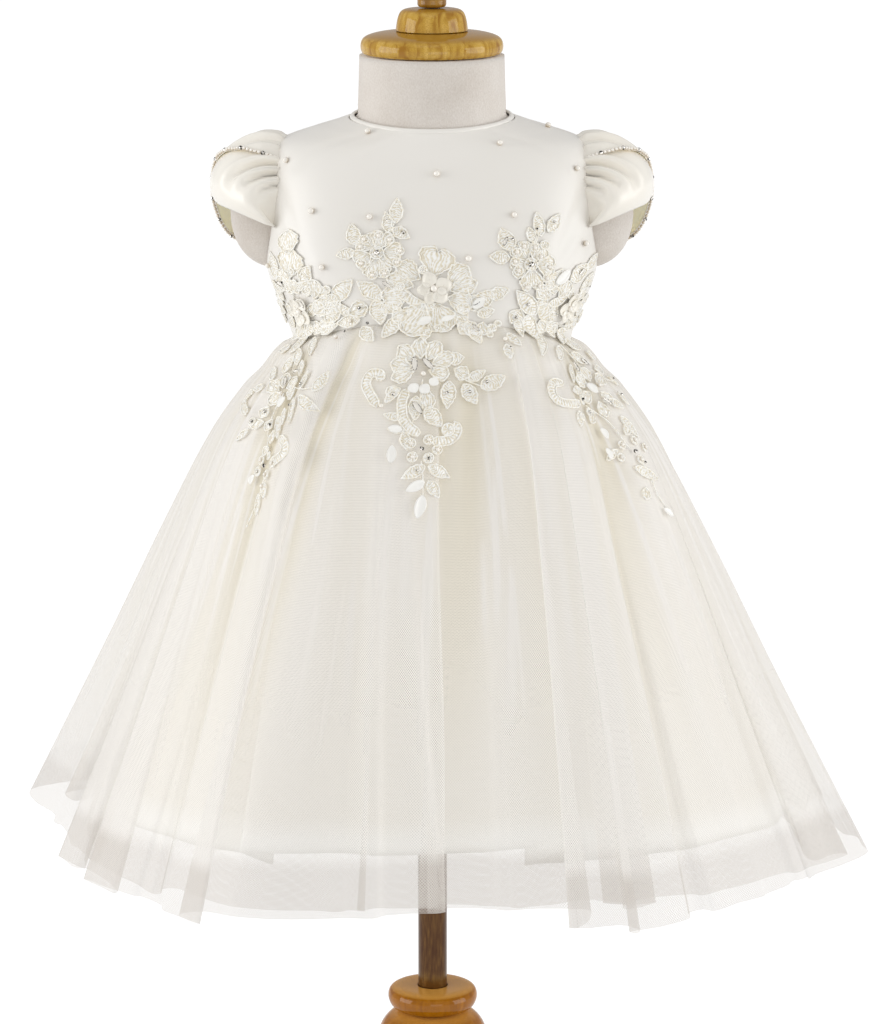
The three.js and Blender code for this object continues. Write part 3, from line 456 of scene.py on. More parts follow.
def cloth_uv(points):
    """A pair for each corner of a grid's faces, in metres along the cloth: how far round from the first
    column, and how far along the rows."""
    steps = np.linalg.norm(np.diff(points, axis=1), axis=-1)
    across = np.concatenate([np.zeros((len(points), 1)), np.cumsum(steps, 1)], 1)
    middle = points[:, points.shape[1] // 2]
    along = np.concatenate([[0], np.cumsum(np.linalg.norm(np.diff(middle, axis=0), axis=1))])
    return corner_uv(across, np.broadcast_to(along[:, None], across.shape))


def corner_uv(across, along):
    """The two values of a grid's points, in millimetres, as pairs in metres for each corner of its faces."""
    pair = np.stack([across, along], -1) * MM
    return np.stack([pair[:-1, :-1], pair[:-1, 1:], pair[1:, 1:], pair[1:, :-1]], -2).reshape(-1, 2)


def armhole_turn(row, behind):
    """How far round the armhole's edge lies at a row, in front or behind, as a turn for even(). Above and
    below the armhole that is the side and shoulder seam, a quarter turn."""
    height, _, front, back, square, _ = form_values(row)
    open_share = np.clip(1 - ((height - ARMHOLE["z"]) / ARMHOLE["half_height"]) ** 2, 0, 1)
    reach = ARMHOLE["half_depth"] * np.sqrt(open_share)
    y = np.maximum(reach + ARMHOLE["y"], 0) if behind else np.maximum(reach - ARMHOLE["y"], 0)
    y = np.where(open_share > 0, y, 0)
    share = y / (back if behind else front)
    ahead = share ** (square / 2 / EVENNESS)
    side = np.sqrt(1 - share**square) ** (1 / EVENNESS)
    return np.pi / 2 + np.arctan2(ahead, side) * (1 if behind else -1)


def satin(name, color, deep, roughness=0.36, hem_top=None, **settings):
    """Heavy satin with a soft sheen. Its weave is too fine to see but breaks the gloss, and what light it
    catches in its folds turns creamy. From hem_top, a height in metres, the doubled cloth under it turns
    whiter over 12 millimetres."""
    settings = {"Roughness": roughness, "Sheen_Weight": 0.12, "Sheen_Roughness": 0.4, **settings}
    material, node = finish(name, color, **settings)
    colour = blend(node, noise(node, 14.0), deep, color, into="Base Color")
    if hem_top:
        height = node("SeparateXYZ", {0: node("TexCoord")["Object"]})[2]
        doubled = between(node, height, hem_top, hem_top - 0.012)
        blend(node, doubled, colour, srgb(255, 254, 249), into="Base Color")
    weave, slubs = noise(node, 2600.0, detail=1.0), noise(node, stretch=(90, 90, 900))
    rough = maths(node, "ADD", weave, slubs)
    node("Bump", {"Height": rough, "Strength": 0.12, "Distance": 0.0002}, into="Normal")
    return material


ivory_satin = satin("ivory_satin", srgb(240, 237, 232), srgb(237, 233, 225))
low = np.linspace(0, 1, 26, endpoint=False)
armhole_part = ARMHOLE["z"] - ARMHOLE["half_height"] * np.cos(np.linspace(0, np.pi, 55))
upper_rows = np.concatenate([row_at(armhole_part), np.linspace(row_at(ABOVE_ARMHOLE), NECK_ROW, 24)])


def bodice_panel(name, node_name, edges, columns, table):
    """A panel from one edge to another, each a turn for each row, and from the waist seam to the neck."""
    rows = np.concatenate([np.full(len(low), upper_rows[0]), upper_rows])[:, None]
    start, end = edges(rows)
    share = np.linspace(0, 1, columns)
    angle = even(start + (end - start) * share)
    seam = row_at(waist_height(angle) + SEAM_GAP / 2)
    climb = np.concatenate([low, np.ones(len(upper_rows))])[:, None]
    row = np.where(climb < 1, seam + (upper_rows[0] - seam) * climb, rows)
    face = form_surface(angle, row)
    round_body = BODY_RADIUS * (np.abs(angle) if table is BACK_CREASES else angle)
    off = EASE + SATIN_WALL + creases(round_body, face[..., 2], table)
    face = face + normal_at(form_surface, angle, row)[0] * off[..., None]
    made = piece(name, *quads(face), ivory_satin, "satin", uv=cloth_uv(face), thick=SATIN_THICK)
    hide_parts(node_name)
    return made, face


def cloth_size(face):
    """The flat size of a panel in metres: its widest row and its longest column, and its area."""
    wide = np.linalg.norm(np.diff(face, axis=1), axis=-1).sum(1).max()
    long = np.linalg.norm(np.diff(face, axis=0), axis=-1).sum(0).max()
    diagonals = np.cross(face[1:, 1:] - face[:-1, :-1], face[1:, :-1] - face[:-1, 1:])
    return (wide * MM, long * MM), np.linalg.norm(diagonals, axis=-1).sum() / 2 * MM**2


def front_edges(rows):
    """The front panel's edges: its right and its left side."""
    side = armhole_turn(rows, False)
    return -side, side


def left_edges(rows):
    """The left back panel's edges: its side and the opening."""
    return armhole_turn(rows, True), np.full_like(rows, np.pi - BACK_GAP)


def right_edges(rows):
    """The right back panel's edges: the opening and its side."""
    side, opening = left_edges(rows)
    return -opening, -side


BODICE_PANELS = [  # name, CAD node, the two edges, columns, creases
    ("satin_bodice_front", "bodice_front", front_edges, 121, FRONT_CREASES),
    ("satin_bodice_back_left", "bodice_back_left", left_edges, 61, BACK_CREASES),
    ("satin_bodice_back_right", "bodice_back_right", right_edges, 61, BACK_CREASES),
]
bodice_faces = []
for panel_values in BODICE_PANELS:
    panel, face = bodice_panel(*panel_values)
    bodice_faces.append(face)
    size, area = cloth_size(face)

# ------------------------------------------------------------------ the neck binding and the back fastening
# A bias strip of the same satin, folded over the neck edge. Behind, a strip covers the opening, with five
# pearl buttons.

BINDING = {"row": 13.84, "out": 1.9, "half_wide": 1.5, "half_thick": 0.9}
PLACKET = {"half_width": 7, "from": 541, "to": 661, "lift": 0.8, "pucker": 0.25, "puckers": 47}
BUTTON = {"count": 5, "first": 553, "pitch": 24.5, "rounding": 0.6, "shank": 0.3}
# Radius and height, from the middle of its back to the middle of its dished face.
BUTTON_OUTLINE = [(0, 0), (4.4, 0), (4.6, 0.7), (4.2, 1.7), (3.2, 2.4), (2.2, 2.5), (1.4, 2.2), (0, 2.2)]


def band(path, side, out, half_wide, half_thick, sides=8, closed=True):
    """A round or flat cord along paths (..., steps, 3). Each section is an oval, half_wide along `side` and
    half_thick along `out`, and an open path gets a small section at each end."""
    turn = circle(sides)
    if not closed:
        ends = np.ones(path.shape[-2])
        ends[[0, -1]] = 0.02
        half_wide, half_thick = half_wide * ends[:, None, None], half_thick * ends[:, None, None]
    across = side[..., None, :] * np.cos(turn)[:, None] * half_wide
    above = out[..., None, :] * np.sin(turn)[:, None] * half_thick
    return quads(path[..., None, :] + across + above, ring=True, loop=closed)


angle = circle(160) - np.pi
row = np.full_like(angle, BINDING["row"])
out, up = normal_at(form_surface, angle, row)
neck_path = form_surface(angle, row) + out * BINDING["out"]
tape = band(neck_path, up, out, BINDING["half_wide"], BINDING["half_thick"], sides=12)
binding = piece("satin_neck_binding", *tape, ivory_satin, "satin")
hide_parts("neck_binding")

share, climb = np.meshgrid(np.linspace(-1, 1, 13), np.linspace(0, 1, 61))
row = row_at(PLACKET["from"] + (PLACKET["to"] - PLACKET["from"]) * climb)
round_strip = np.pi + share * PLACKET["half_width"] / form_values(row)[1]
face_out = EASE + SATIN_WALL + PLACKET["lift"] + SATIN_WALL
off = face_out + PLACKET["pucker"] * np.cos(climb * PLACKET["puckers"]) * (1 - share**2)
strip = form_surface(round_strip, row) + normal_at(form_surface, round_strip, row)[0] * off[..., None]
along_strip = cloth_uv(strip)
placket = piece("satin_back_placket", *quads(strip), ivory_satin, "satin", uv=along_strip, thick=SATIN_THICK)
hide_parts("back_placket")

shell_coat = {"Coat_Weight": 0.7, "Coat_Roughness": 0.06}
pearl_shell, node = finish("pearl_shell", srgb(240, 233, 222), Roughness=0.22, **shell_coat)
node("Bump", {"Height": noise(node, 420.0), "Strength": 0.08, "Distance": 0.0002}, into="Normal")
for i in range(BUTTON["count"]):
    here = np.array([row_at(BUTTON["first"] + i * BUTTON["pitch"])])
    out, up = (v[0] for v in normal_at(form_surface, np.array([np.pi]), here))
    seat = form_surface(np.array([np.pi]), here)[0] + out * (face_out + BUTTON["shank"])
    radius, height = rounded(BUTTON_OUTLINE, BUTTON["rounding"]).T[:, :, None, None]
    turn = circle(32)[:, None]
    rim = radius * (np.sin(turn) * np.cross(up, out) + np.cos(turn) * up)
    shape = quads(seat + rim + height * out, ring=True)
    button = piece(f"pearl_button_{i + 1}", *shape, pearl_shell, "pearl_button", merge=True)
    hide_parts(f"back_button_{i + 1}")

# ------------------------------------------------------------------ the sleeves
# Each cap sleeve is two satin petals gathered into the armhole. The back one laps over the front one at the
# top of the arm, and a row of small beads is sewn along its edge and hem.

SLEEVE = {
    "seam_angle": 104, "seam_margin": 0.8, "seam_drop": 1.5, "seam_out": -0.6, "seam_lift": 5,
    "hem_angle": 100, "hem_inner": 92, "hem_reach": 28, "hem_half_depth": 34, "hem_low": 603,
    "hem_slope": 0.45, "hem_tilt": 6, "back_drop": 8, "push_end": 15, "push_top": 27,
    "turn_side": 13, "turn_ends": 8, "rise_end": 5, "rise_top": 19, "lap": 0.3, "fold_share": 1.3,
}
PETAL_THICK = 0.7
FREE_END = -0.42
# How far down each petal reaches at a place across it, from its free end to the underarm.
FRONT_EDGE = np.array([
    (FREE_END, 0.14), (-0.34, 0.45), (-0.24, 0.68), (-0.12, 0.84), (0.06, 0.96), (0.24, 1), (1, 1),
])
BACK_EDGE = np.array([
    (FREE_END, 0.05), (-0.38, 0.18), (-0.28, 0.32), (-0.14, 0.45), (0, 0.57), (0.14, 0.7), (0.28, 0.86),
    (0.4, 1), (1, 1),
])
# Folds that run from the seam: place across at the seam and at the hem, half width there, height, and the
# share of the way down where they have faded.
FRONT_PETAL_FOLDS = [
    (0.43, 0.34, 0.028, 0.085, 1.8, 0.85),
    (0.475, 0.42, 0.017, 0.07, -4.6, 0.74),
    (0.52, 0.54, 0.022, 0.085, 2.6, 0.72),
    (0.56, 0.63, 0.014, 0.06, -4.4, 0.50),
    (0.61, 0.74, 0.03, 0.11, 2.2, 0.85),
    (0.655, 0.80, 0.013, 0.05, -2.6, 0.36),
    (0.70, 0.90, 0.04, 0.13, 1.4, 0.80),
    (-0.10, -0.16, 0.07, 0.12, 0.6, 1.20),
]
BACK_PETAL_FOLDS = [
    (-0.30, -0.18, 0.03, 0.07, 1.6, 0.40),
    (-0.22, -0.08, 0.022, 0.08, -3.4, 0.42),
    (-0.14, 0.02, 0.03, 0.10, 2.0, 0.50),
    (-0.05, 0.10, 0.02, 0.08, -3.2, 0.46),
    (0.08, 0.20, 0.04, 0.12, 1.4, 0.48),
    (0.22, 0.26, 0.02, 0.08, -3.0, 0.50),
    (0.36, 0.36, 0.03, 0.11, 2.4, 0.72),
    (0.47, 0.50, 0.02, 0.08, -3.4, 0.62),
    (0.58, 0.64, 0.03, 0.10, 2.6, 0.78),
    (0.68, 0.78, 0.02, 0.08, -3.0, 0.60),
    (0.80, 0.92, 0.04, 0.10, 1.6, 0.75),
]


def cap_point(across, down):
    """A point of the left sleeve's cap. across runs from -1 at the front of the underarm over the shoulder
    to 1 at the back. Down it is a cubic curve from the armhole, out over the arm and in to the hem. Towards
    the underarm it is drawn in, so that it lies flatter there."""
    s = SLEEVE
    turn, hem_turn = np.radians(across * s["seam_angle"]), np.radians(across * s["hem_angle"])
    back, up = np.sin(turn), np.cos(turn)
    y = ARMHOLE["y"] + (ARMHOLE["half_depth"] + s["seam_margin"]) * back
    z = ARMHOLE["z"] + (ARMHOLE["half_height"] + s["seam_margin"]) * up
    _, wide, front, behind, square, _ = form_values(row_at(z - s["seam_drop"]))
    deep = np.where(back > 0, behind, front)
    inward = np.maximum(0, 1 - np.abs(y / deep) ** square) ** (1 / square)
    seam = np.stack([wide * inward + s["seam_out"], y, z], -1)
    hem_x = s["hem_inner"] + s["hem_reach"] * np.cos(hem_turn)
    hem_y = ARMHOLE["y"] + s["hem_half_depth"] * np.sin(hem_turn)
    behind = np.clip(np.sin(hem_turn), 0, 1)
    hem_z = s["hem_low"] + (hem_x - s["hem_inner"]) * s["hem_slope"] * (1 - behind)
    hem_z = hem_z - s["hem_tilt"] * np.sin(hem_turn) - s["back_drop"] * behind
    hem = np.stack([hem_x, hem_y, hem_z], -1)
    near_top = 1 - np.abs(across)
    drawn_in = 0.35 + 0.65 * np.clip(near_top / 0.16, 0, 1)
    push = (s["push_end"] + (s["push_top"] - s["push_end"]) * near_top) * drawn_in
    rise = (s["rise_end"] + (s["rise_top"] - s["rise_end"]) * near_top) * drawn_in
    first = seam + np.stack([push, s["seam_lift"] * back, s["seam_lift"] * up], -1)
    turn_out = [s["turn_side"] * np.cos(hem_turn), s["turn_ends"] * np.sin(hem_turn) * drawn_in, rise]
    second = hem + np.stack(turn_out, -1)
    t = np.asarray(down)[..., None]
    return (1 - t) ** 3 * seam + 3 * t * (1 - t) ** 2 * first + 3 * t * t * (1 - t) * second + t**3 * hem


def petal_face(across, down, side, out, table):
    """A point of a petal, out of the cap by its lap and its folds, and the way straight out. across runs from
    its free end, past the top of the shoulder, to its own side's underarm. The lap grows under the seam and
    shrinks towards the underarm. A fold is a bell across, which widens and fades on its way down."""
    raised = out * np.clip(0.25 + np.broadcast_arrays(across, down)[1] / 0.22, 0, 1)
    raised = raised * np.clip((1 - np.asarray(across)) / 0.1, 0.3, 1)
    for seam_at, hem_at, seam_half, hem_half, high, faded in table:
        middle = seam_at + (hem_at - seam_at) * down
        half = seam_half + (hem_half - seam_half) * down
        strength = np.clip(1 - (down / faded) ** 2, 0, 1) * np.clip(down / 0.05, 0.3, 1)
        strength = strength * np.clip((1 - np.asarray(across)) / 0.12, 0, 1)
        raised = raised + SLEEVE["fold_share"] * high * np.exp(-(((across - middle) / half) ** 2)) * strength
    step = 0.005
    place, middle = side * np.asarray(across), np.clip(down, step, 1 - step)
    along = cap_point(place, middle + step) - cap_point(place, middle - step)
    around = cap_point(place + step, middle) - cap_point(place - step, middle)
    normal = unit(np.cross(along, around))
    return cap_point(place, np.asarray(down)) + normal * raised[..., None], normal


PETALS = {  # the side it is sewn to, how far it lies off the cap, its folds and its free edge
    "front": (-1, SATIN_WALL, FRONT_PETAL_FOLDS, FRONT_EDGE),
    "back": (1, 2 * SATIN_WALL + SLEEVE["lap"], BACK_PETAL_FOLDS, BACK_EDGE),
}
sleeve_satin = satin("sleeve_satin", srgb(250, 247, 240), srgb(247, 241, 229), roughness=0.26)
# painted shade: the back petals' inner faces are the sleeve satin in a yellower cream, for the warm shade
# inside the sleeve
sleeve_inside_painted_shade = satin(  # daylight comes through it from outside
    "sleeve_inside_painted_shade", srgb(255, 240, 202), srgb(254, 235, 190), roughness=0.5,
    Subsurface_Weight=0.8, Subsurface_Radius=(1.0, 0.9, 0.7), Subsurface_Scale=0.006,
)
for hand, mirror in (("left", 1), ("right", -1)):
    for where, (side, out, table, free_edge) in PETALS.items():
        across, share = np.meshgrid(np.linspace(FREE_END, 1, 73), np.linspace(0, 1, 45))
        down = share * smooth_curve(*free_edge.T, across)
        face, _ = petal_face(across, down, side, out, table)
        face = face * (mirror, 1, 1)
        order = -1 if mirror * side > 0 else 1
        face = face[:, ::order]
        name = f"satin_sleeve_{hand}_{where}"
        petal = piece(name, *quads(face), sleeve_satin, "satin", uv=cloth_uv(face), thick=PETAL_THICK)
        petal.data.materials.append(sleeve_inside_painted_shade if where == "back" else sleeve_satin)
        petal.modifiers["wall"].material_offset = 1
        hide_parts(f"sleeve_{hand}_{where}_petal")
        size, area = cloth_size(face)

# ------------------------------------------------------------------ the skirts
# Three gathered layers hang from the waist seam: an underskirt of the same satin in three panels, with a
# stitched hem, and two longer ones of soft nylon tulle, cut wider, whose edges are left raw.

# How far a layer has moved out from the waist to its hem, at a share of the way down: sides, front, back.
FLARE = np.array([
    (0, 0, 0, 0),
    (0.03, 0.055, 0.075, 0.065),
    (0.065, 0.105, 0.135, 0.12),
    (0.1, 0.17, 0.2, 0.185),
    (0.2, 0.3, 0.345, 0.33),
    (0.39, 0.475, 0.52, 0.5),
    (0.64, 0.685, 0.74, 0.72),
    (1, 1, 1, 1),
])
# Each layer's hem as it lies, followed round along the cloth from the middle of the back: degrees round at
# the waist, degrees round at the hem, distance from the axis there, and how much lower it hangs there. Where
# the degrees at the hem run back, the cloth is folded over itself.
SATIN_HEM = [
    (-180, -180, 134, 0), (-168, -167, 139, 0), (-157, -156, 147, 0), (-150, -148, 155, 0),
    (-147, -147, 148, 4), (-144, -150, 141, 5), (-141, -147, 140, 4), (-134, -138, 158, 1),
    (-126, -128, 176, 0), (-118, -118, 186, 0), (-109, -107, 189, 0), (-104, -101, 183, 1),
    (-97, -93, 178, 0), (-89, -84, 181, 0), (-82, -76.5, 183, 0), (-76, -71.5, 178, 0), (-68, -64, 169, 0),
    (-59, -57, 160, 1), (-50, -50, 150, 3), (-42, -44, 140, 7), (-37, -40.5, 136, 9), (-33, -42, 143, 5),
    (-30, -44, 152, 0), (-27, -41.5, 150, 0), (-23, -34, 139, 0), (-17, -24, 127, 0), (-9, -12, 119, 0),
    (0, 0, 115, 0), (9, 14, 114, 0), (17, 26, 116, 0), (23, 34, 122, 0), (26, 36, 125, 0),
    (28.5, 33, 120, 5), (31, 28, 114, 9), (33, 26, 113, 10), (36, 31, 115, 10), (42, 39, 129, 9),
    (49, 46, 156, 4), (55, 51.5, 169, 1), (61, 58, 178, 0), (69, 67, 190, 0), (76, 74.5, 204, 0),
    (83, 82, 203, 0), (92, 92, 194, 0), (101, 102, 191, 0), (109, 110.5, 190, 0), (112, 109.5, 182, 4),
    (115, 106, 176, 5), (118, 108.5, 172, 4), (125, 119, 176, 1), (133, 130, 173, 0), (141, 141, 164, 0),
    (149, 150, 154, 0), (156, 157, 148, 0), (159, 156.5, 142, 4), (162, 153.5, 136, 5), (165, 157, 133, 2),
    (172, 168, 132, 0), (180, 180, 134, 0),
]
INNER_HEM = [
    (-180, -180, 158, 0), (-170, -170, 160, 0), (-161, -160, 166, 0), (-153, -150, 177, 0),
    (-149, -145, 184, 0), (-146.5, -146, 178, 3), (-144, -149, 172, 4), (-141, -146, 172, 2),
    (-135, -137, 190, 0), (-128, -128, 207, 0), (-121, -119, 216, 0), (-115, -111, 238, 0),
    (-112, -110, 230, 3), (-109.5, -113, 222, 4), (-107, -110, 214, 2), (-101, -101, 203, 0),
    (-94, -92, 200, 0), (-87, -84, 198, 0), (-82, -77, 197, 3), (-79.5, -75.5, 201, 3), (-77, -79, 203, 0),
    (-72, -72, 198, 0), (-66, -65, 193, 0), (-60, -58, 192, 0), (-54, -52.5, 196, 0), (-51.5, -53, 190, 2),
    (-49, -56, 184, 3), (-46.5, -53, 180, 1), (-41, -45, 180, 0), (-35, -38, 178, 0), (-28, -30, 172, 0),
    (-21, -22, 164, 0), (-15, -14.5, 158, 0), (-13, -14, 153, 2), (-11, -17, 149, 2), (-9, -14.5, 147, 1),
    (-4, -6, 146, 0), (1, 1.8, 145, 0), (2, 1.2, 143, 1), (3, -2, 141, 2), (4, -1, 140, 1), (8, 6, 142, 0),
    (13, 12, 146, 0), (18, 18, 150, 0), (23, 25, 153, 0), (28, 32, 154, 0), (30, 39, 160, 3),
    (31.5, 40.5, 165, 3), (33, 38, 167, 2), (34.5, 34.5, 165, 0), (37, 37.5, 175, 0), (40, 41, 181, 0),
    (41.5, 42.3, 183, 0), (43, 40, 178, 3), (44.5, 38, 173, 4), (46, 40, 172, 2), (49, 45, 180, 0),
    (55, 52, 192, 0), (61, 59, 200, 0), (67, 66, 208, 0), (73, 73, 226, 0), (79, 79.5, 243, 0),
    (82, 81, 235, 2), (84.5, 78, 224, 3), (87, 80.5, 216, 2), (92, 88, 209, 0), (99, 97, 207, 0),
    (106, 105, 205, 0), (112, 111.5, 203, 0), (118, 118, 208, 0), (122, 122.5, 212, 0),
    (124.5, 121.5, 206, 3), (127, 118.5, 200, 4), (129.5, 121, 197, 2), (136, 131, 197, 0),
    (143, 140, 192, 0), (150, 149, 184, 0), (156, 156, 176, 0), (158.5, 155.5, 170, 3),
    (161, 152.5, 164, 4), (163.5, 155, 162, 2), (170, 166, 158, 0), (180, 180, 158, 0),
]
OUTER_HEM = [
    (-180, -180, 176, 0), (-172, -171, 180, 0), (-164, -161, 190, 0), (-158, -153.5, 200, 0),
    (-155, -152, 196, 3), (-152, -155, 188, 4), (-149, -152, 188, 3), (-143, -143, 204, 0),
    (-136, -133, 222, 0), (-130, -126, 232, 0), (-127, -123.5, 230, 3), (-125, -126, 222, 4),
    (-122, -122.5, 222, 2), (-116, -114, 242, 0), (-111, -108.5, 254, 0), (-107, -103, 242, 0),
    (-101, -97, 222, 0), (-95, -90, 213, 0), (-88, -80, 208, 0), (-84, -72, 206, 3), (-81, -70, 210, 4),
    (-78, -74.5, 221, 0), (-74, -70.5, 216, 0), (-70, -66, 209, 0), (-66, -58, 205, 3),
    (-63.5, -57, 210, 3), (-61, -62, 218, 0), (-56, -56.5, 213, 0), (-50, -50, 212, 0), (-42, -42, 215, 0),
    (-33, -35.5, 221, 0), (-28, -33.8, 223, 0), (-25, -36, 215, 3), (-23, -40, 208, 3), (-21, -38, 205, 1),
    (-18, -31, 205, 0), (-14, -24, 197, 0), (-9, -14, 180, 0), (-5, -7.5, 170, 0), (-1, -1, 165, 0),
    (1, 1.8, 164, 0), (2, 1.2, 162, 1), (3, -2, 160, 2), (4, -1, 158.5, 1), (7, 6, 160, 0),
    (12, 13, 164, 0), (17, 21, 169, 0), (21, 27.5, 174, 2), (23, 27.5, 183, 5), (25, 24, 195, 4),
    (27, 21, 205, 0), (29, 23.5, 209, 0), (31.5, 28.5, 213, 0), (33, 31, 216, 3), (34.5, 30, 221, 3),
    (36, 28, 225, 0), (40.5, 34, 226, 0), (45, 38.5, 222, 0), (48, 41.5, 219, 0), (51, 45, 223, 0),
    (57, 52, 225, 0), (63, 59, 225, 0), (67, 64.5, 227, 0), (69, 66.5, 228, 2), (70.5, 65.3, 231, 2),
    (72, 66.2, 234, 0), (77, 72, 245, 0), (81, 78.5, 255, 0), (84, 82.5, 247, 0), (88, 88, 236, 0),
    (94, 95, 230, 0), (99, 101.5, 233, 0), (103, 106, 240, 0), (105.5, 106, 233, 3), (107.5, 102, 226, 4),
    (110, 104, 222, 2), (115, 111, 222, 0), (121, 118, 230, 0), (126, 124, 237, 0), (129, 127, 230, 0),
    (133, 131, 222, 0), (138, 137, 214, 2), (140, 138, 219, 3), (142.5, 134.5, 229, 0), (146, 139, 226, 0),
    (151, 146, 212, 0), (157, 154, 200, 0), (163, 161, 192, 0), (168, 167.5, 190, 0), (170, 167.5, 184, 3),
    (172, 165, 178, 3), (174.5, 168, 174, 1), (180, 180, 176, 0),
]
# Smaller folds along the cloth: place and drift by the hem in degrees of the cloth, half width, how far they
# stand out at the hem, the share of the way down where they begin, and how far their crest leans.
SATIN_RIPPLES = [
    (-3, 0, 9, 3, 0.05, 0), (14, 3, 8, 3, 0.1, 2), (-17, -2, 7, 3, 0.05, -3), (47, 0, 8, 3, 0.05, 0),
    (62, 0, 7, 3, 0.2, 3), (80, 0, 8, 4, 0.1, 0), (-58, 0, 8, 4, 0.1, 3), (-75, 2, 8, 3, 0.1, -3),
    (97, 0, 8, 4, 0.1, 3), (-96, 0, 7, 5, 0.2, -3), (124, 0, 9, 4, 0.1, 3), (-118, 0, 9, 4, 0.1, -3),
    (144, 0, 8, 4, 0.1, 0), (168, 0, 7, 4, 0.1, 2), (-140, 0, 8, 4, 0.1, 2), (-162, 0, 8, 4, 0.05, 0),
]
OUTER_RIPPLES = [
    (-44, 0, 3.0, 3, 0.1, -5), (-50, -3, 2.6, 3, 0.2, 6), (-56, 0, 3, 3, 0.1, 4), (-66, 1, 2.6, 3, 0.1, 6),
    (-34, 0, 2.6, 3, 0.05, -5), (-14, 2, 2.5, 3, 0.1, 5), (-10, 5, 2.2, 3, 0.15, 5.5),
    (-5, 3, 2.2, 2.5, 0.3, 5), (9, 0, 2.8, 3, 0.1, -4), (14, 2, 2.2, 3, 0.2, 5), (19, 1, 2.0, 2, 0.1, -4),
    (42, 0, 2.6, 3, 0.06, 6), (47, 2, 2.6, 4, 0.03, -7), (52, 2, 2.2, 3, 0.2, 5), (59, 0, 2.6, 3, 0.1, 6),
    (65, -1, 2.4, 3, 0.25, -5), (84, 0, 3, 4, 0.1, 6), (92, 0, 2.6, 3, 0.2, -5), (100, 1, 3, 4, 0.1, 6),
    (116, 0, 2.6, 4, 0.1, -6), (122, 0, 2.4, 3, 0.3, 5), (132, 0, 3, 4, 0.05, 6),
    (145, -1, 2.6, 4, 0.2, -5), (152, 0, 2.6, 4, 0.1, 6), (160, 0, 3, 4, 0.1, 5), (-74, 0, 2.6, 3, 0.1, 5),
    (-84, 0, 2.6, 3, 0.1, -5), (-92, 1, 3, 3, 0.2, 6), (-100, 0, 2.6, 3, 0.1, 5), (-122, 0, 2.8, 4, 0.1, 6),
    (-133, 0, 2.6, 4, 0.2, -5), (-141, 0, 3, 4, 0.05, 6), (-151, 1, 2.6, 3, 0.2, -5),
    (-168, 0, 3, 4, 0.1, 6), (-175, 0, 2.6, 3, 0.3, -5), (174, 0, 2.6, 3, 0.2, 5),
]
INNER_RIPPLES = [
    (-34, 0, 2.6, 3, 0.1, -5), (-24, 1, 2.4, 3, 0.2, 5), (-17, 2, 2.4, 3, 0.15, 5),
    (-5, 2, 2.2, 2.5, 0.1, -4), (10, 1, 2.4, 3, 0.1, -5), (17, 2, 2.2, 3, 0.3, 5), (24, 1, 2.2, 3, 0.1, 5),
    (52, 0, 2.4, 3, 0.2, -5), (60, 0, 2.6, 3, 0.1, 5), (68, 0, 2.4, 3, 0.3, -5), (90, 0, 2.6, 3, 0.1, 5),
    (99, 0, 2.4, 3, 0.2, 5), (-44, 0, 2.4, 3, 0.3, 5), (-62, 0, 2.6, 3, 0.1, -5), (-72, 0, 2.4, 3, 0.2, 5),
    (-88, 0, 2.6, 3, 0.1, -5), (-98, 0, 2.6, 3, 0.1, 5), (110, 0, 2.6, 3, 0.2, -5),
    (134, 0, 2.6, 3, 0.1, 5), (146, 0, 2.4, 3, 0.2, 5), (170, 0, 2.6, 3, 0.1, -5),
    (-122, 0, 2.6, 3, 0.2, 5), (-133, 0, 2.4, 3, 0.1, -5), (-158, 0, 2.6, 3, 0.2, 5),
    (-169, 0, 2.6, 3, 0.1, -5),
]

# Broad soft folds that all three layers share under the waist seam: place and drift by the hem in degrees of
# the cloth, half width, and how far they stand out or sink.
SOFT_FOLDS = [
    (-34, 0, 7, 5), (-22, 6, 7, -6.5), (-8, 2, 7, 4), (12, -6, 6, -4.5), (28, -2, 9, 4), (45, -5, 5, 5.5),
    (54, -8, 8, -7), (67, -3, 8, 4.5), (-47, 0, 7, -6), (-68, 3, 8, 5), (81, 0, 7, -4.5), (96, 2, 9, 4),
    (-84, 0, 8, -5), (-100, 2, 9, 5), (112, 0, 7, -5), (128, 3, 9, 5), (146, 0, 7, -5), (163, 2, 8, 4),
    (-117, -2, 8, -5), (-133, 0, 8, 4), (-149, 2, 7, -4.5), (-166, 0, 9, 5), (180, 0, 6, -3),
]
# The gathers under the seam: the highest in millimetres, and how far down the longest ones reach.
GATHERS = {"seed": 5, "height": 1.5, "longest": 0.4}
SOFT_GROWTH, SOFT_FADE = 0.09, 0.55  # the way down the broad folds grow over, and their loss by the hem
BELL_REACH = 3  # a bell is nothing beyond this many of its half widths
TUCK_END, DROP_START = 0.014, 0.35  # shares of the way down: clear of the seam, and where folds begin to hang


def hem_path(table):
    """The hem as curves along the cloth: its degrees round at the waist, its plan, and its drop. The cloth is
    counted from -180 to 180, in even steps of the hem's own length."""
    waist, hem, radius, drop = np.array(table, float).T
    plan = np.stack([radius * np.sin(np.radians(hem)), -radius * np.cos(np.radians(hem))], -1)
    length = np.cumsum(np.linalg.norm(np.diff(plan, axis=0, prepend=plan[:1]), axis=1))
    return length / length[-1] * 360 - 180, np.column_stack([waist, plan, drop])


def wrapped(degrees):
    """Degrees brought between -180 and 180."""
    return (degrees + 540) % 360 - 180


def grown(down, start):
    """How far a fold has grown at a share of the way down: a soft step from its start to the hem."""
    t = np.clip((down - start) / (1 - start), 0, 1)
    return t * t * (3 - 2 * t)


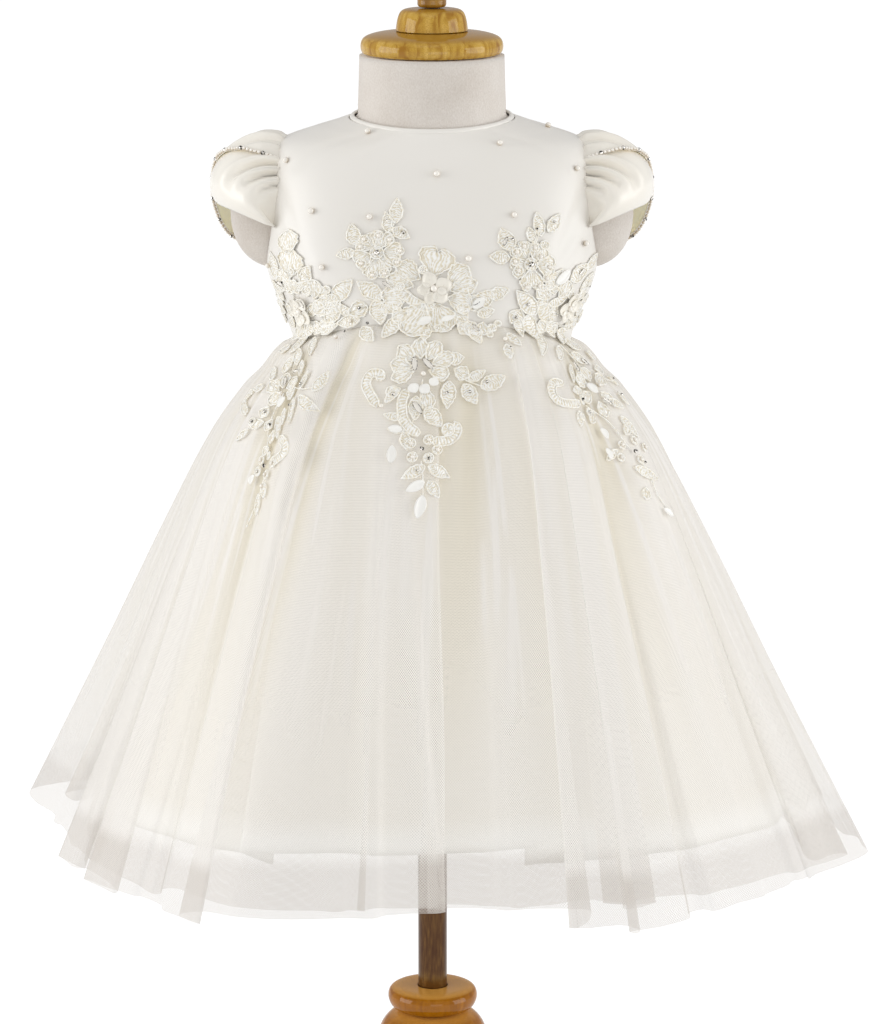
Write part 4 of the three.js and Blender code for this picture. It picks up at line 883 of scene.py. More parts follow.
def fold_field(cloth, down, table):
    """How far small folds stand out, and how far their crests lean along the cloth. Each has the section of a
    squared cosine, and grows from its start to the hem."""
    high, lean = np.zeros(cloth.shape), np.zeros(cloth.shape)
    for at, drift, half, deep, start, leans in table:
        away = np.clip(wrapped(cloth - at - drift * down) / half, -1, 1)
        bump = np.cos(away * np.pi / 2) ** 2 * grown(down, start)
        high += deep * bump
        lean += leans * bump
    return high, lean


def gather_field(degrees, down, count):
    """The fine gathers under the waist seam: ridges close together, uneven in place, width, height and
    length, each a bell that fades on its way down."""
    draw = np.random.default_rng(GATHERS["seed"])
    at = (np.arange(count) + draw.uniform(-0.35, 0.35, count)) * 360 / count
    half = draw.uniform(0.3, 0.55, count) * 360 / count
    deep = draw.uniform(0.35, 1, count) * GATHERS["height"]
    length = 0.05 + GATHERS["longest"] * draw.uniform(0, 1, count) ** 2
    total = np.zeros(degrees.shape)
    for place, wide, high, reach in zip(at, half, deep, length):
        away = wrapped(degrees - place) / wide
        near = np.abs(away) < BELL_REACH
        fade = np.exp(-((down[near] / reach) ** 1.5)) * np.clip(down[near] / 0.012, 0, 1)
        total[near] += high * np.exp(-(away[near] ** 2)) * fade
    return total


def soft_fold_field(degrees, down):
    """How far the broad folds stand out: each has a bell for its section, grows fast under the seam and fades
    slowly on its way to the hem."""
    total = np.zeros(degrees.shape)
    for at, drift, half, deep in SOFT_FOLDS:
        away = wrapped(degrees - at - drift * down) / half
        total += deep * np.exp(-(away**2))
    return total * (1 - np.exp(-down / SOFT_GROWTH)) * (1 - SOFT_FADE * down)


def fine_creases(cloth, down, seed, count):
    """Sharp thin creases in the net, from 0 to 1: narrow bells that drift a little along the cloth, and begin
    and end anywhere down it. The ranges are of place, drift, half width, start, length and strength."""
    draw = np.random.default_rng(seed)
    rows = zip(*(draw.uniform(low, high, count) for low, high in (
        (-180, 180), (-5, 5), (0.25, 0.55), (-0.1, 0.45), (0.15, 0.6), (0.35, 1),
    )))
    total = np.zeros(cloth.shape)
    for at, drift, half, start, reach, strength in rows:
        away = wrapped(cloth - at - drift * down) / half
        near = np.abs(away) < BELL_REACH
        along = np.clip((down[near] - start) / reach, 0, 1)
        total[near] += strength * np.exp(-(away[near] ** 2)) * np.sin(np.pi * along) ** 0.7
    return np.minimum(total, 1)


def relief(face, reach):
    """How far each point of a closed skirt stands out of the mean of its neighbours round, in millimetres.
    The tulle's colour paints creamy shade where this is low.
    """
    radius = np.hypot(face[..., 0], face[..., 1])
    past_seam = np.concatenate([radius[:, -reach:], radius, radius[:, : reach + 1]], 1)
    total = np.cumsum(past_seam, 1)
    width = 2 * reach + 1
    mean = np.concatenate([total[:, width - 1 : width], total[:, width:] - total[:, :-width]], 1) / width
    return radius - mean[:, : radius.shape[1]]


def skirt_surface(cloth, down, layer):
    """A point of a skirt layer. It lies on the line from the waist seam to the hem's place, as far along it
    as FLARE says, moved out and round by the small folds and by the gathers under the seam."""
    keys, columns = hem_path(layer["path"])
    degrees, plan_x, plan_y, drop = (smooth_curve(keys, column, cloth) for column in columns.T)
    angle = np.radians(degrees)
    top = waist_height(angle) + SEAM_GAP / 2
    row = row_at(top)
    out, _ = normal_at(form_surface, angle, row)
    tucked = layer["tucked"] + (layer["inside"] - layer["tucked"]) * np.clip(down / TUCK_END, 0, 1)
    waist = form_surface(angle, row) + out * tucked[..., None]
    at_side, in_front, behind = (smooth_curve(FLARE[:, 0], column, down) for column in FLARE.T[1:])
    ahead = np.cos(angle)
    flared = at_side * np.sin(angle) ** 2 + np.where(ahead > 0, in_front, behind) * ahead**2
    hem_angle = np.arctan2(plan_x, -plan_y)
    high, lean = fold_field(cloth, down, layer["ripples"])
    high *= layer["ripple_share"]
    high += gather_field(degrees, down, layer["gathers"])
    high += soft_fold_field(degrees, down)
    x = waist[..., 0] * (1 - flared) + plan_x * flared + high * np.sin(hem_angle) + lean * np.cos(hem_angle)
    y = waist[..., 1] * (1 - flared) + plan_y * flared - high * np.cos(hem_angle) + lean * np.sin(hem_angle)
    return np.stack([x, y, top + (layer["hem"] - top) * down - drop * grown(down, DROP_START)], -1)


# Hem is the height of the hem. Inside is how far the layer lies off the form, and tucked how far at the seam.
SATIN_SKIRT = {
    "path": SATIN_HEM, "ripples": SATIN_RIPPLES, "ripple_share": 1.0, "hem": 269,
    "inside": EASE + SATIN_WALL, "tucked": EASE + SATIN_WALL, "gathers": 44,
}
INNER_TULLE = {
    "path": INNER_HEM, "ripples": INNER_RIPPLES, "ripple_share": 0.5, "hem": 247.5,
    "inside": 3.4, "tucked": 2.25, "gathers": 72, "net_slope": 0.8,
}
OUTER_TULLE = {
    "path": OUTER_HEM, "ripples": OUTER_RIPPLES, "ripple_share": 0.6, "hem": 251,
    "inside": 4.8, "tucked": 2.3, "gathers": 72, "net_slope": 0.62,
}
# Threads a pitch apart, each this half share of it wide. They cover the solid share of what is behind them,
# and the finest filaments cover the haze share between them.
NET = {"pitch": 1.05, "thread": 0.115, "solid": 0.75, "haze": 0.22}
TULLE_CUT = {"top": 1.0, "long": 0.325}  # metres
HEM_STEPS = 900
RELIEF_REACH = 22  # steps round, to each side, that a fold is measured against
MOST_GATHERED = 2.4  # times as many threads as in the flat cloth
# Creases: their count, how much closer the threads lie in them, the share of that which is gone at the hem,
# and how high they count among the folds, which keeps the painted creamy shade of the hollows off them.
NET_CREASES = {"count": 150, "closer": 1.3, "gone": 0.85, "high": 5}


def tulle(name, slope):
    """Nylon net: two sets of fine threads that cross in diamonds, with open holes between them, and slope is
    how fast they climb. Where the cloth is gathered its threads lie closer, so they cover more. Its colour
    holds painted shade: creamy shade painted in the hollows of its folds near the waist, and grey shade
    painted where it hangs below the satin's hem, with a little of it out at the sides."""
    material, node = finish(name, srgb(232, 227, 220), Roughness=0.7, Sheen_Weight=0.2)
    place = node("SeparateXYZ", {0: node("UVMap", uv_map="cloth")[0]})
    fold = node("Attribute", attribute_name="relief")["Fac"]
    # painted shade: the hollows of the folds near the waist are painted creamy, for the shade that falls in
    # them
    upper = between(node, place[1], 0.04, 0.26, 1.0, 0.12)
    painted_hollow_shade = maths(node, "MULTIPLY", between(node, fold, 1.0, -4.0), upper)
    painted_cream_shade = blend(node, painted_hollow_shade, srgb(240, 236, 230), srgb(221, 211, 184))
    # painted shade: the net turns greyer below the satin's hem, and slightly greyer far out to each side,
    # where no satin lies behind it
    sideways = maths(node, "ABSOLUTE", node("SeparateXYZ", {0: node("TexCoord")["Object"]})[0])
    side_grey_shade = between(node, sideways, 0.13, 0.2, high=0.15)
    painted_grey_shade = maths(node, "MAXIMUM", between(node, place[1], 0.291, 0.299), side_grey_shade)
    blend(node, painted_grey_shade, painted_cream_shade, srgb(214, 207, 199), into="Base Color")
    gathered = node("Attribute", attribute_name="gathered")["Fac"]
    edge = maths(node, "SUBTRACT", 0.5, maths(node, "MULTIPLY", gathered, NET["thread"]))
    threads = []
    for way in ("ADD", "SUBTRACT"):
        along = maths(node, way, place[0], maths(node, "MULTIPLY", place[1], slope))
        count = maths(node, "MULTIPLY", along, 1 / (NET["pitch"] * MM))
        away = maths(node, "ABSOLUTE", maths(node, "SUBTRACT", maths(node, "FRACT", count), 0.5))
        threads.append(maths(node, "GREATER_THAN", away, edge))
    haze = maths(node, "MULTIPLY", gathered, NET["haze"])
    between(node, maths(node, "MAXIMUM", *threads), 0.0, 1.0, haze, NET["solid"], into="Alpha")
    return material


def row_lengths(face):
    """How long each row of a closed grid is."""
    closed = np.concatenate([face, face[:, :1]], 1)
    return np.linalg.norm(np.diff(closed, axis=1), axis=-1).sum(1)


skirt_rows = np.concatenate([np.linspace(0, 0.2, 34)[:-1], np.linspace(0.2, 1, 52)])
for layer, name, node_name in (
    (INNER_TULLE, "tulle_inner", "overskirt_tulle_inner"),
    (OUTER_TULLE, "tulle_outer", "overskirt_tulle_outer"),
):
    cloth, down = np.meshgrid(np.linspace(-180, 180, HEM_STEPS, endpoint=False), skirt_rows)
    face = skirt_surface(cloth, down, layer)
    points, faces = quads(face, ring=True)
    lengths = row_lengths(face)
    wide, long = np.meshgrid(np.linspace(0, lengths[-1], HEM_STEPS + 1), skirt_rows * TULLE_CUT["long"] / MM)
    uv = corner_uv(wide, long).reshape(-1, 4, 2)[:, ::-1]
    creased = fine_creases(cloth, down, layer["gathers"] + len(name), NET_CREASES["count"])
    closer = 1 + NET_CREASES["closer"] * creased * (1 - NET_CREASES["gone"] * down)
    gathered = np.minimum((lengths[-1] / lengths)[:, None], MOST_GATHERED) * closer
    # how far each point stands out, with the creases raised, for the tulle's painted shade in the hollows
    shade_relief_with_creases = relief(face, RELIEF_REACH) + NET_CREASES["high"] * creased
    net = tulle(f"nylon_{name}", layer["net_slope"])
    skirt = piece(name, points, faces[:, ::-1], net, "tulle", uv=uv, gathered=gathered, relief=shade_relief_with_creases)
    skirt.visible_shadow = False
    skirt.visible_diffuse = False
    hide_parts(node_name)
    size = (lengths[-1] * MM, TULLE_CUT["long"])
    area = (TULLE_CUT["top"] + size[0]) / 2 * size[1]

satin_rows = np.concatenate([np.linspace(0, 0.2, 26)[:-1], np.linspace(0.2, 1, 46)])
skirt_satin = satin("skirt_satin", srgb(240, 235, 225), srgb(236, 229, 213), roughness=0.42, hem_top=0.289)
satin_keys, satin_columns = hem_path(SATIN_HEM)
SEAM_SHARE = 0.06  # of a degree of the cloth, between a panel's edge and the middle of its seam
for name, node_name, start, end, columns in (
    ("satin_underskirt_front", "underskirt_front", -90, 90, 320),
    ("satin_underskirt_back_left", "underskirt_back_left", 90, 180, 140),
    ("satin_underskirt_back_right", "underskirt_back_right", -180, -90, 140),
):
    first, last = np.interp((start, end), satin_columns[:, 0], satin_keys)
    cloth, down = np.meshgrid(np.linspace(first + SEAM_SHARE, last - SEAM_SHARE, columns), satin_rows)
    face = skirt_surface(cloth, down, SATIN_SKIRT)
    points, faces = quads(face)
    uv = cloth_uv(face).reshape(-1, 4, 2)[:, ::-1]
    skirt = piece(name, points, faces[:, ::-1], skirt_satin, "satin", uv=uv, thick=SATIN_THICK)
    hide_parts(node_name)
    size, area = cloth_size(face)

# ------------------------------------------------------------------ the lace
# Corded lace is sewn over the waist seam and hangs from it in three points. Its leaves and petals are of
# close thread ribs with a thick cord round them, and pearls, cut stones and pointed sequins are sewn on.

# The dress's outer radius, by degrees round and millimetres up. In each cell it is the furthest point of the
# cloth, and over the chest it goes over to the mean of the points, because the cloth slopes in there. The
# skirt is sampled as far round and as far down as the lace reaches.
GROUND = {"columns": 111, "rows": 97, "angle": -110.0, "degrees": 2.0, "height": 435.0, "step": 2.5}
SLOPE = {"from": 600, "over": 35}
BARE = 60  # where there is no cloth
# How an edge waves, the pitch, number and height of the ribs, how far a fill is domed, and how far the first
# piece lies off the cloth, with a step more for each of the next three.
STITCH = {
    "wave": 3.4, "rib": 1.4, "leaf_ribs": 10, "petal_ribs": 9,
    "high": 0.34, "dome": 0.4, "off": 0.15, "step": 0.14,
}
CORD_HALF = {"leaf": 0.54, "eyelet": 0.55, "scroll": 0.58, "stem": 0.42}
SCROLL_HALF = 2.4
OUTLINES = {  # where they are widest and how blunt they are, with the size of their waves and their notch
    "leaves": {"peak": 0.8, "blunt": 0.85},
    "petals": {"peak": 1.45, "blunt": 0.6, "wave": 0.09, "fan": True},
    "notched": {"peak": 1.7, "blunt": 0.55, "notch": 0.22, "fan": True},
}
cloth, down = np.meshgrid(np.linspace(-140, 140, 1401), np.linspace(0, 0.42, 120))
near_waist = skirt_surface(cloth, down, OUTER_TULLE)
dress_points = np.concatenate([face.reshape(-1, 3) for face in (near_waist, *bodice_faces)])
ground, total, count = np.zeros((3, GROUND["columns"], GROUND["rows"]))
way = np.degrees(np.arctan2(dress_points[:, 0], -dress_points[:, 1]))
i = np.round((way - GROUND["angle"]) / GROUND["degrees"])
j = np.round((dress_points[:, 2] - GROUND["height"]) / GROUND["step"])
inside = (i >= 0) & (i < GROUND["columns"]) & (j >= 0) & (j < GROUND["rows"])
cells = (i[inside].astype(int), j[inside].astype(int))
reach = np.hypot(dress_points[inside, 0], dress_points[inside, 1])
np.maximum.at(ground, cells, reach)
np.add.at(total, cells, reach)
np.add.at(count, cells, 1)
heights = np.arange(GROUND["rows"]) * GROUND["step"] + GROUND["height"]
ground += (total / np.maximum(count, 1) - ground) * np.clip((heights - SLOPE["from"]) / SLOPE["over"], 0, 1)
for cells_round in ground.T:
    known = np.flatnonzero(cells_round)
    cells_round[:] = np.interp(np.arange(len(cells_round)), known, cells_round[known]) if len(known) else BARE
for _ in range(2):
    padded = np.pad(ground, 1, mode="edge")
    ground = (padded[1:-1, :-2] + 2 * padded[1:-1, 1:-1] + padded[1:-1, 2:]) / 4
    padded = np.pad(ground, 1, mode="edge")
    ground = (padded[:-2, 1:-1] + 2 * padded[1:-1, 1:-1] + padded[2:, 1:-1]) / 4


def ground_radius(degrees, height):
    """How far the dress's outer face lies from the axis, between the four nearest cells of the ground."""
    i = np.clip((degrees - GROUND["angle"]) / GROUND["degrees"], 0, GROUND["columns"] - 1.001)
    j = np.clip((height - GROUND["height"]) / GROUND["step"], 0, GROUND["rows"] - 1.001)
    i0, j0 = i.astype(int), j.astype(int)
    u, v = i - i0, j - j0
    lower = ground[i0, j0] * (1 - u) + ground[i0 + 1, j0] * u
    upper = ground[i0, j0 + 1] * (1 - u) + ground[i0 + 1, j0 + 1] * u
    return lower * (1 - v) + upper * v


def ground_slope(degrees, height):
    """How fast that radius changes with the height, over 4 millimetres up and down."""
    return (ground_radius(degrees, height + 4) - ground_radius(degrees, height - 4)) / 8


def on_dress(degrees, height, out):
    """A point that lies `out` millimetres off the dress's outer face, and the way straight out there, square
    to the face over 2 degrees and 3 millimetres to each side."""
    def place(degrees, height):
        """The point of the ground at an angle and a height."""
        radius, turn = ground_radius(degrees, height), np.radians(degrees)
        return np.stack([radius * np.sin(turn), -radius * np.cos(turn), height + 0 * radius], -1)

    around = place(degrees + 2, height) - place(degrees - 2, height)
    up = place(degrees, height + 3) - place(degrees, height - 3)
    normal = unit(np.cross(around, up))
    return place(degrees, height) + normal * np.asarray(out)[..., None], normal


def local_to_dress(anchor, across, along, out):
    """Places given in millimetres across and up from an anchor (degrees, height), laid onto the dress."""
    degrees, height = anchor
    level = height + along / np.sqrt(1 + ground_slope(degrees, height) ** 2)
    return on_dress(degrees + np.degrees(across / ground_radius(degrees, height)), level, out)


def stitched(rows, peak, blunt, notch=0.0, wave=0.06, fan=False):
    """The ribbed fills and the cords of leaves or petals, one for each row of degrees and height of the foot,
    degrees and height of the tip, and width. Half the width is a power of the sine of a power of the way
    along, with small waves, and the tip may be notched. The ribs slant from a leaf's middle to its edge, and
    fan out along a petal. It also gives each point's count of ribs and its share of the way to the edge."""
    foot_at, foot_z, tip_at, tip_z, wide = np.array(rows, float).T[:, :, None, None]
    order = np.arange(len(rows))[:, None, None]
    over = np.radians(tip_at - foot_at) * ground_radius(foot_at, foot_z)
    up = (tip_z - foot_z) * np.sqrt(1 + ground_slope(foot_at, foot_z) ** 2)
    length = np.hypot(over, up)
    waves = np.maximum(2, np.round(length / STITCH["wave"]))

    def laid(s, t, out):
        """The points a share s of the way along and a share t of the way from the middle to the edge."""
        half = wide / 2 * np.sin(np.pi * np.clip(s, 0, 1) ** peak) ** blunt
        half = half * (1 + wave * np.cos(2 * np.pi * waves * s + order))
        reach = s - notch * (1 - t**2) * s**6 + wave * 0.3 * np.cos(3 * np.pi * t + order) * s**5
        across = over * reach - up / length * t * half
        along = up * reach + over / length * t * half
        return local_to_dress((foot_at, foot_z), across, along, out)

    steps = (11, 27) if fan else (29, 7)
    s, t = np.meshgrid(np.linspace(0.02, 0.985, steps[0]), np.linspace(-1, 1, steps[1]), indexing="ij")
    if fan:
        rib = t * np.minimum(np.round(wide / STITCH["rib"]), STITCH["petal_ribs"]) / 2 + 0.25
    else:
        rib = s * np.minimum(np.round(length / STITCH["rib"]), STITCH["leaf_ribs"]) + np.abs(t) * 0.8
    rib = rib + 0.3 * np.cos(2 * np.pi * (1.6 * s + 0.9 * t) + 1.9 * order)
    rib = rib + 0.12 * np.cos(9 * s - 5 * t + order)
    ridge = (1 + np.cos(2 * np.pi * rib)) / 2
    lift = STITCH["off"] + STITCH["step"] * (order % 4)
    dome = STITCH["dome"] * (1 - t**2) * np.sin(np.pi * s)
    fill, _ = laid(s, t, lift + dome + STITCH["high"] * ridge * (1 - t**4))
    turn = circle(40)[None, None]
    side = np.sin(turn)
    edge, out = laid((1 - np.cos(turn)) / 2 * 0.985 + 0.01, np.sign(side) * np.abs(side) ** 0.15, lift + 0.28)
    # the ribs and the share of the way to the edge, which the lace's painted light and shade read
    shade = [(value + 0 * fill[..., 0])[:, :, ::-1].ravel() for value in (rib, np.abs(t))]
    return quads(fill[:, :, ::-1]), cords(edge[:, 0], out[:, 0], CORD_HALF["leaf"], closed=True), shade


def cords(path, out, half, closed, sides=5):
    """Cords along paths (count, steps, 3), with the way out of the dress given at each step."""
    step = np.roll(path, -1, 1) - np.roll(path, 1, 1) if closed else np.gradient(path, axis=1)
    return band(path, unit(np.cross(out, step)), out, half, half * 0.9, sides=sides, closed=closed)


def rings(rows):
    """Small round eyelets: a corded ring and a dimpled fill of ribs from its middle, for each row of degrees,
    height and radius."""
    at, z, radius = np.array(rows, float).T[:, :, None, None]
    turn = circle(18)[None, None]
    edge, out = local_to_dress((at, z), radius * np.cos(turn), radius * np.sin(turn), 0.9 + 0 * turn)
    s, turn = np.meshgrid(np.linspace(0.06, 1, 5), np.linspace(0, 2 * np.pi, 29), indexing="ij")
    rib = turn / (2 * np.pi) * 7
    high = 0.5 + 0.7 * np.sin(np.pi * s) + 0.2 * np.cos(2 * np.pi * rib) * s
    fill, _ = local_to_dress((at, z), s * radius * np.cos(turn), s * radius * np.sin(turn), high)
    shade = [(value + 0 * fill[..., 0])[:, ::-1].ravel() for value in (rib, s**2)]
    return quads(fill[:, ::-1]), cords(edge[:, 0], out[:, 0], CORD_HALF["eyelet"], closed=True), shade


def scroll(points):
    """A curved band through the given places: ribs across it, and a cord along each edge. Both are the path
    moved across itself by a share of half its width, which tapers to each end."""
    at, z = np.array(points, float).T
    keys = np.arange(len(at))
    s = np.linspace(0, len(at) - 1, 12 * len(at))
    anchor = (at.mean(), z.mean())
    radius = ground_radius(*anchor)
    x, y = np.radians(smooth_curve(keys, at, s) - anchor[0]) * radius, smooth_curve(keys, z, s) - anchor[1]
    step = np.stack([np.gradient(x), np.gradient(y)])
    step /= np.linalg.norm(step, axis=0)
    taper = np.clip(np.minimum(s, len(at) - 1 - s) * 1.6 + 0.25, 0, 1) * SCROLL_HALF
    t = np.linspace(-1, 1, 5)[:, None]
    rib = np.cumsum(np.hypot(np.gradient(x), np.gradient(y))) / 1.7 + 0.3 * t
    ridge = (1 + np.cos(2 * np.pi * rib)) / 2
    high = 0.3 + STITCH["dome"] * (1 - t**2) + STITCH["high"] * ridge * (1 - t**4)
    fill, _ = local_to_dress(anchor, x - step[1] * t * taper, y + step[0] * t * taper, high)
    edge = taper * np.array([-1, 1])[:, None]
    path, out = local_to_dress(anchor, x - step[1] * edge, y + step[0] * edge, 0.6 + 0 * x)
    shade = [(value + 0 * fill[..., 0]).ravel() for value in (rib, np.abs(t))]
    return quads(fill[None]), cords(path, out, CORD_HALF["scroll"], closed=False), shade


def stem(points):
    """A thin cord through the given places."""
    at, z = np.array(points, float).T
    keys = np.arange(len(at))
    s = np.linspace(0, len(at) - 1, 8 * len(at))
    path, out = on_dress(smooth_curve(keys, at, s), smooth_curve(keys, z, s), 0.6 + 0 * s)
    return cords(path[None], out[None], CORD_HALF["stem"], closed=False)


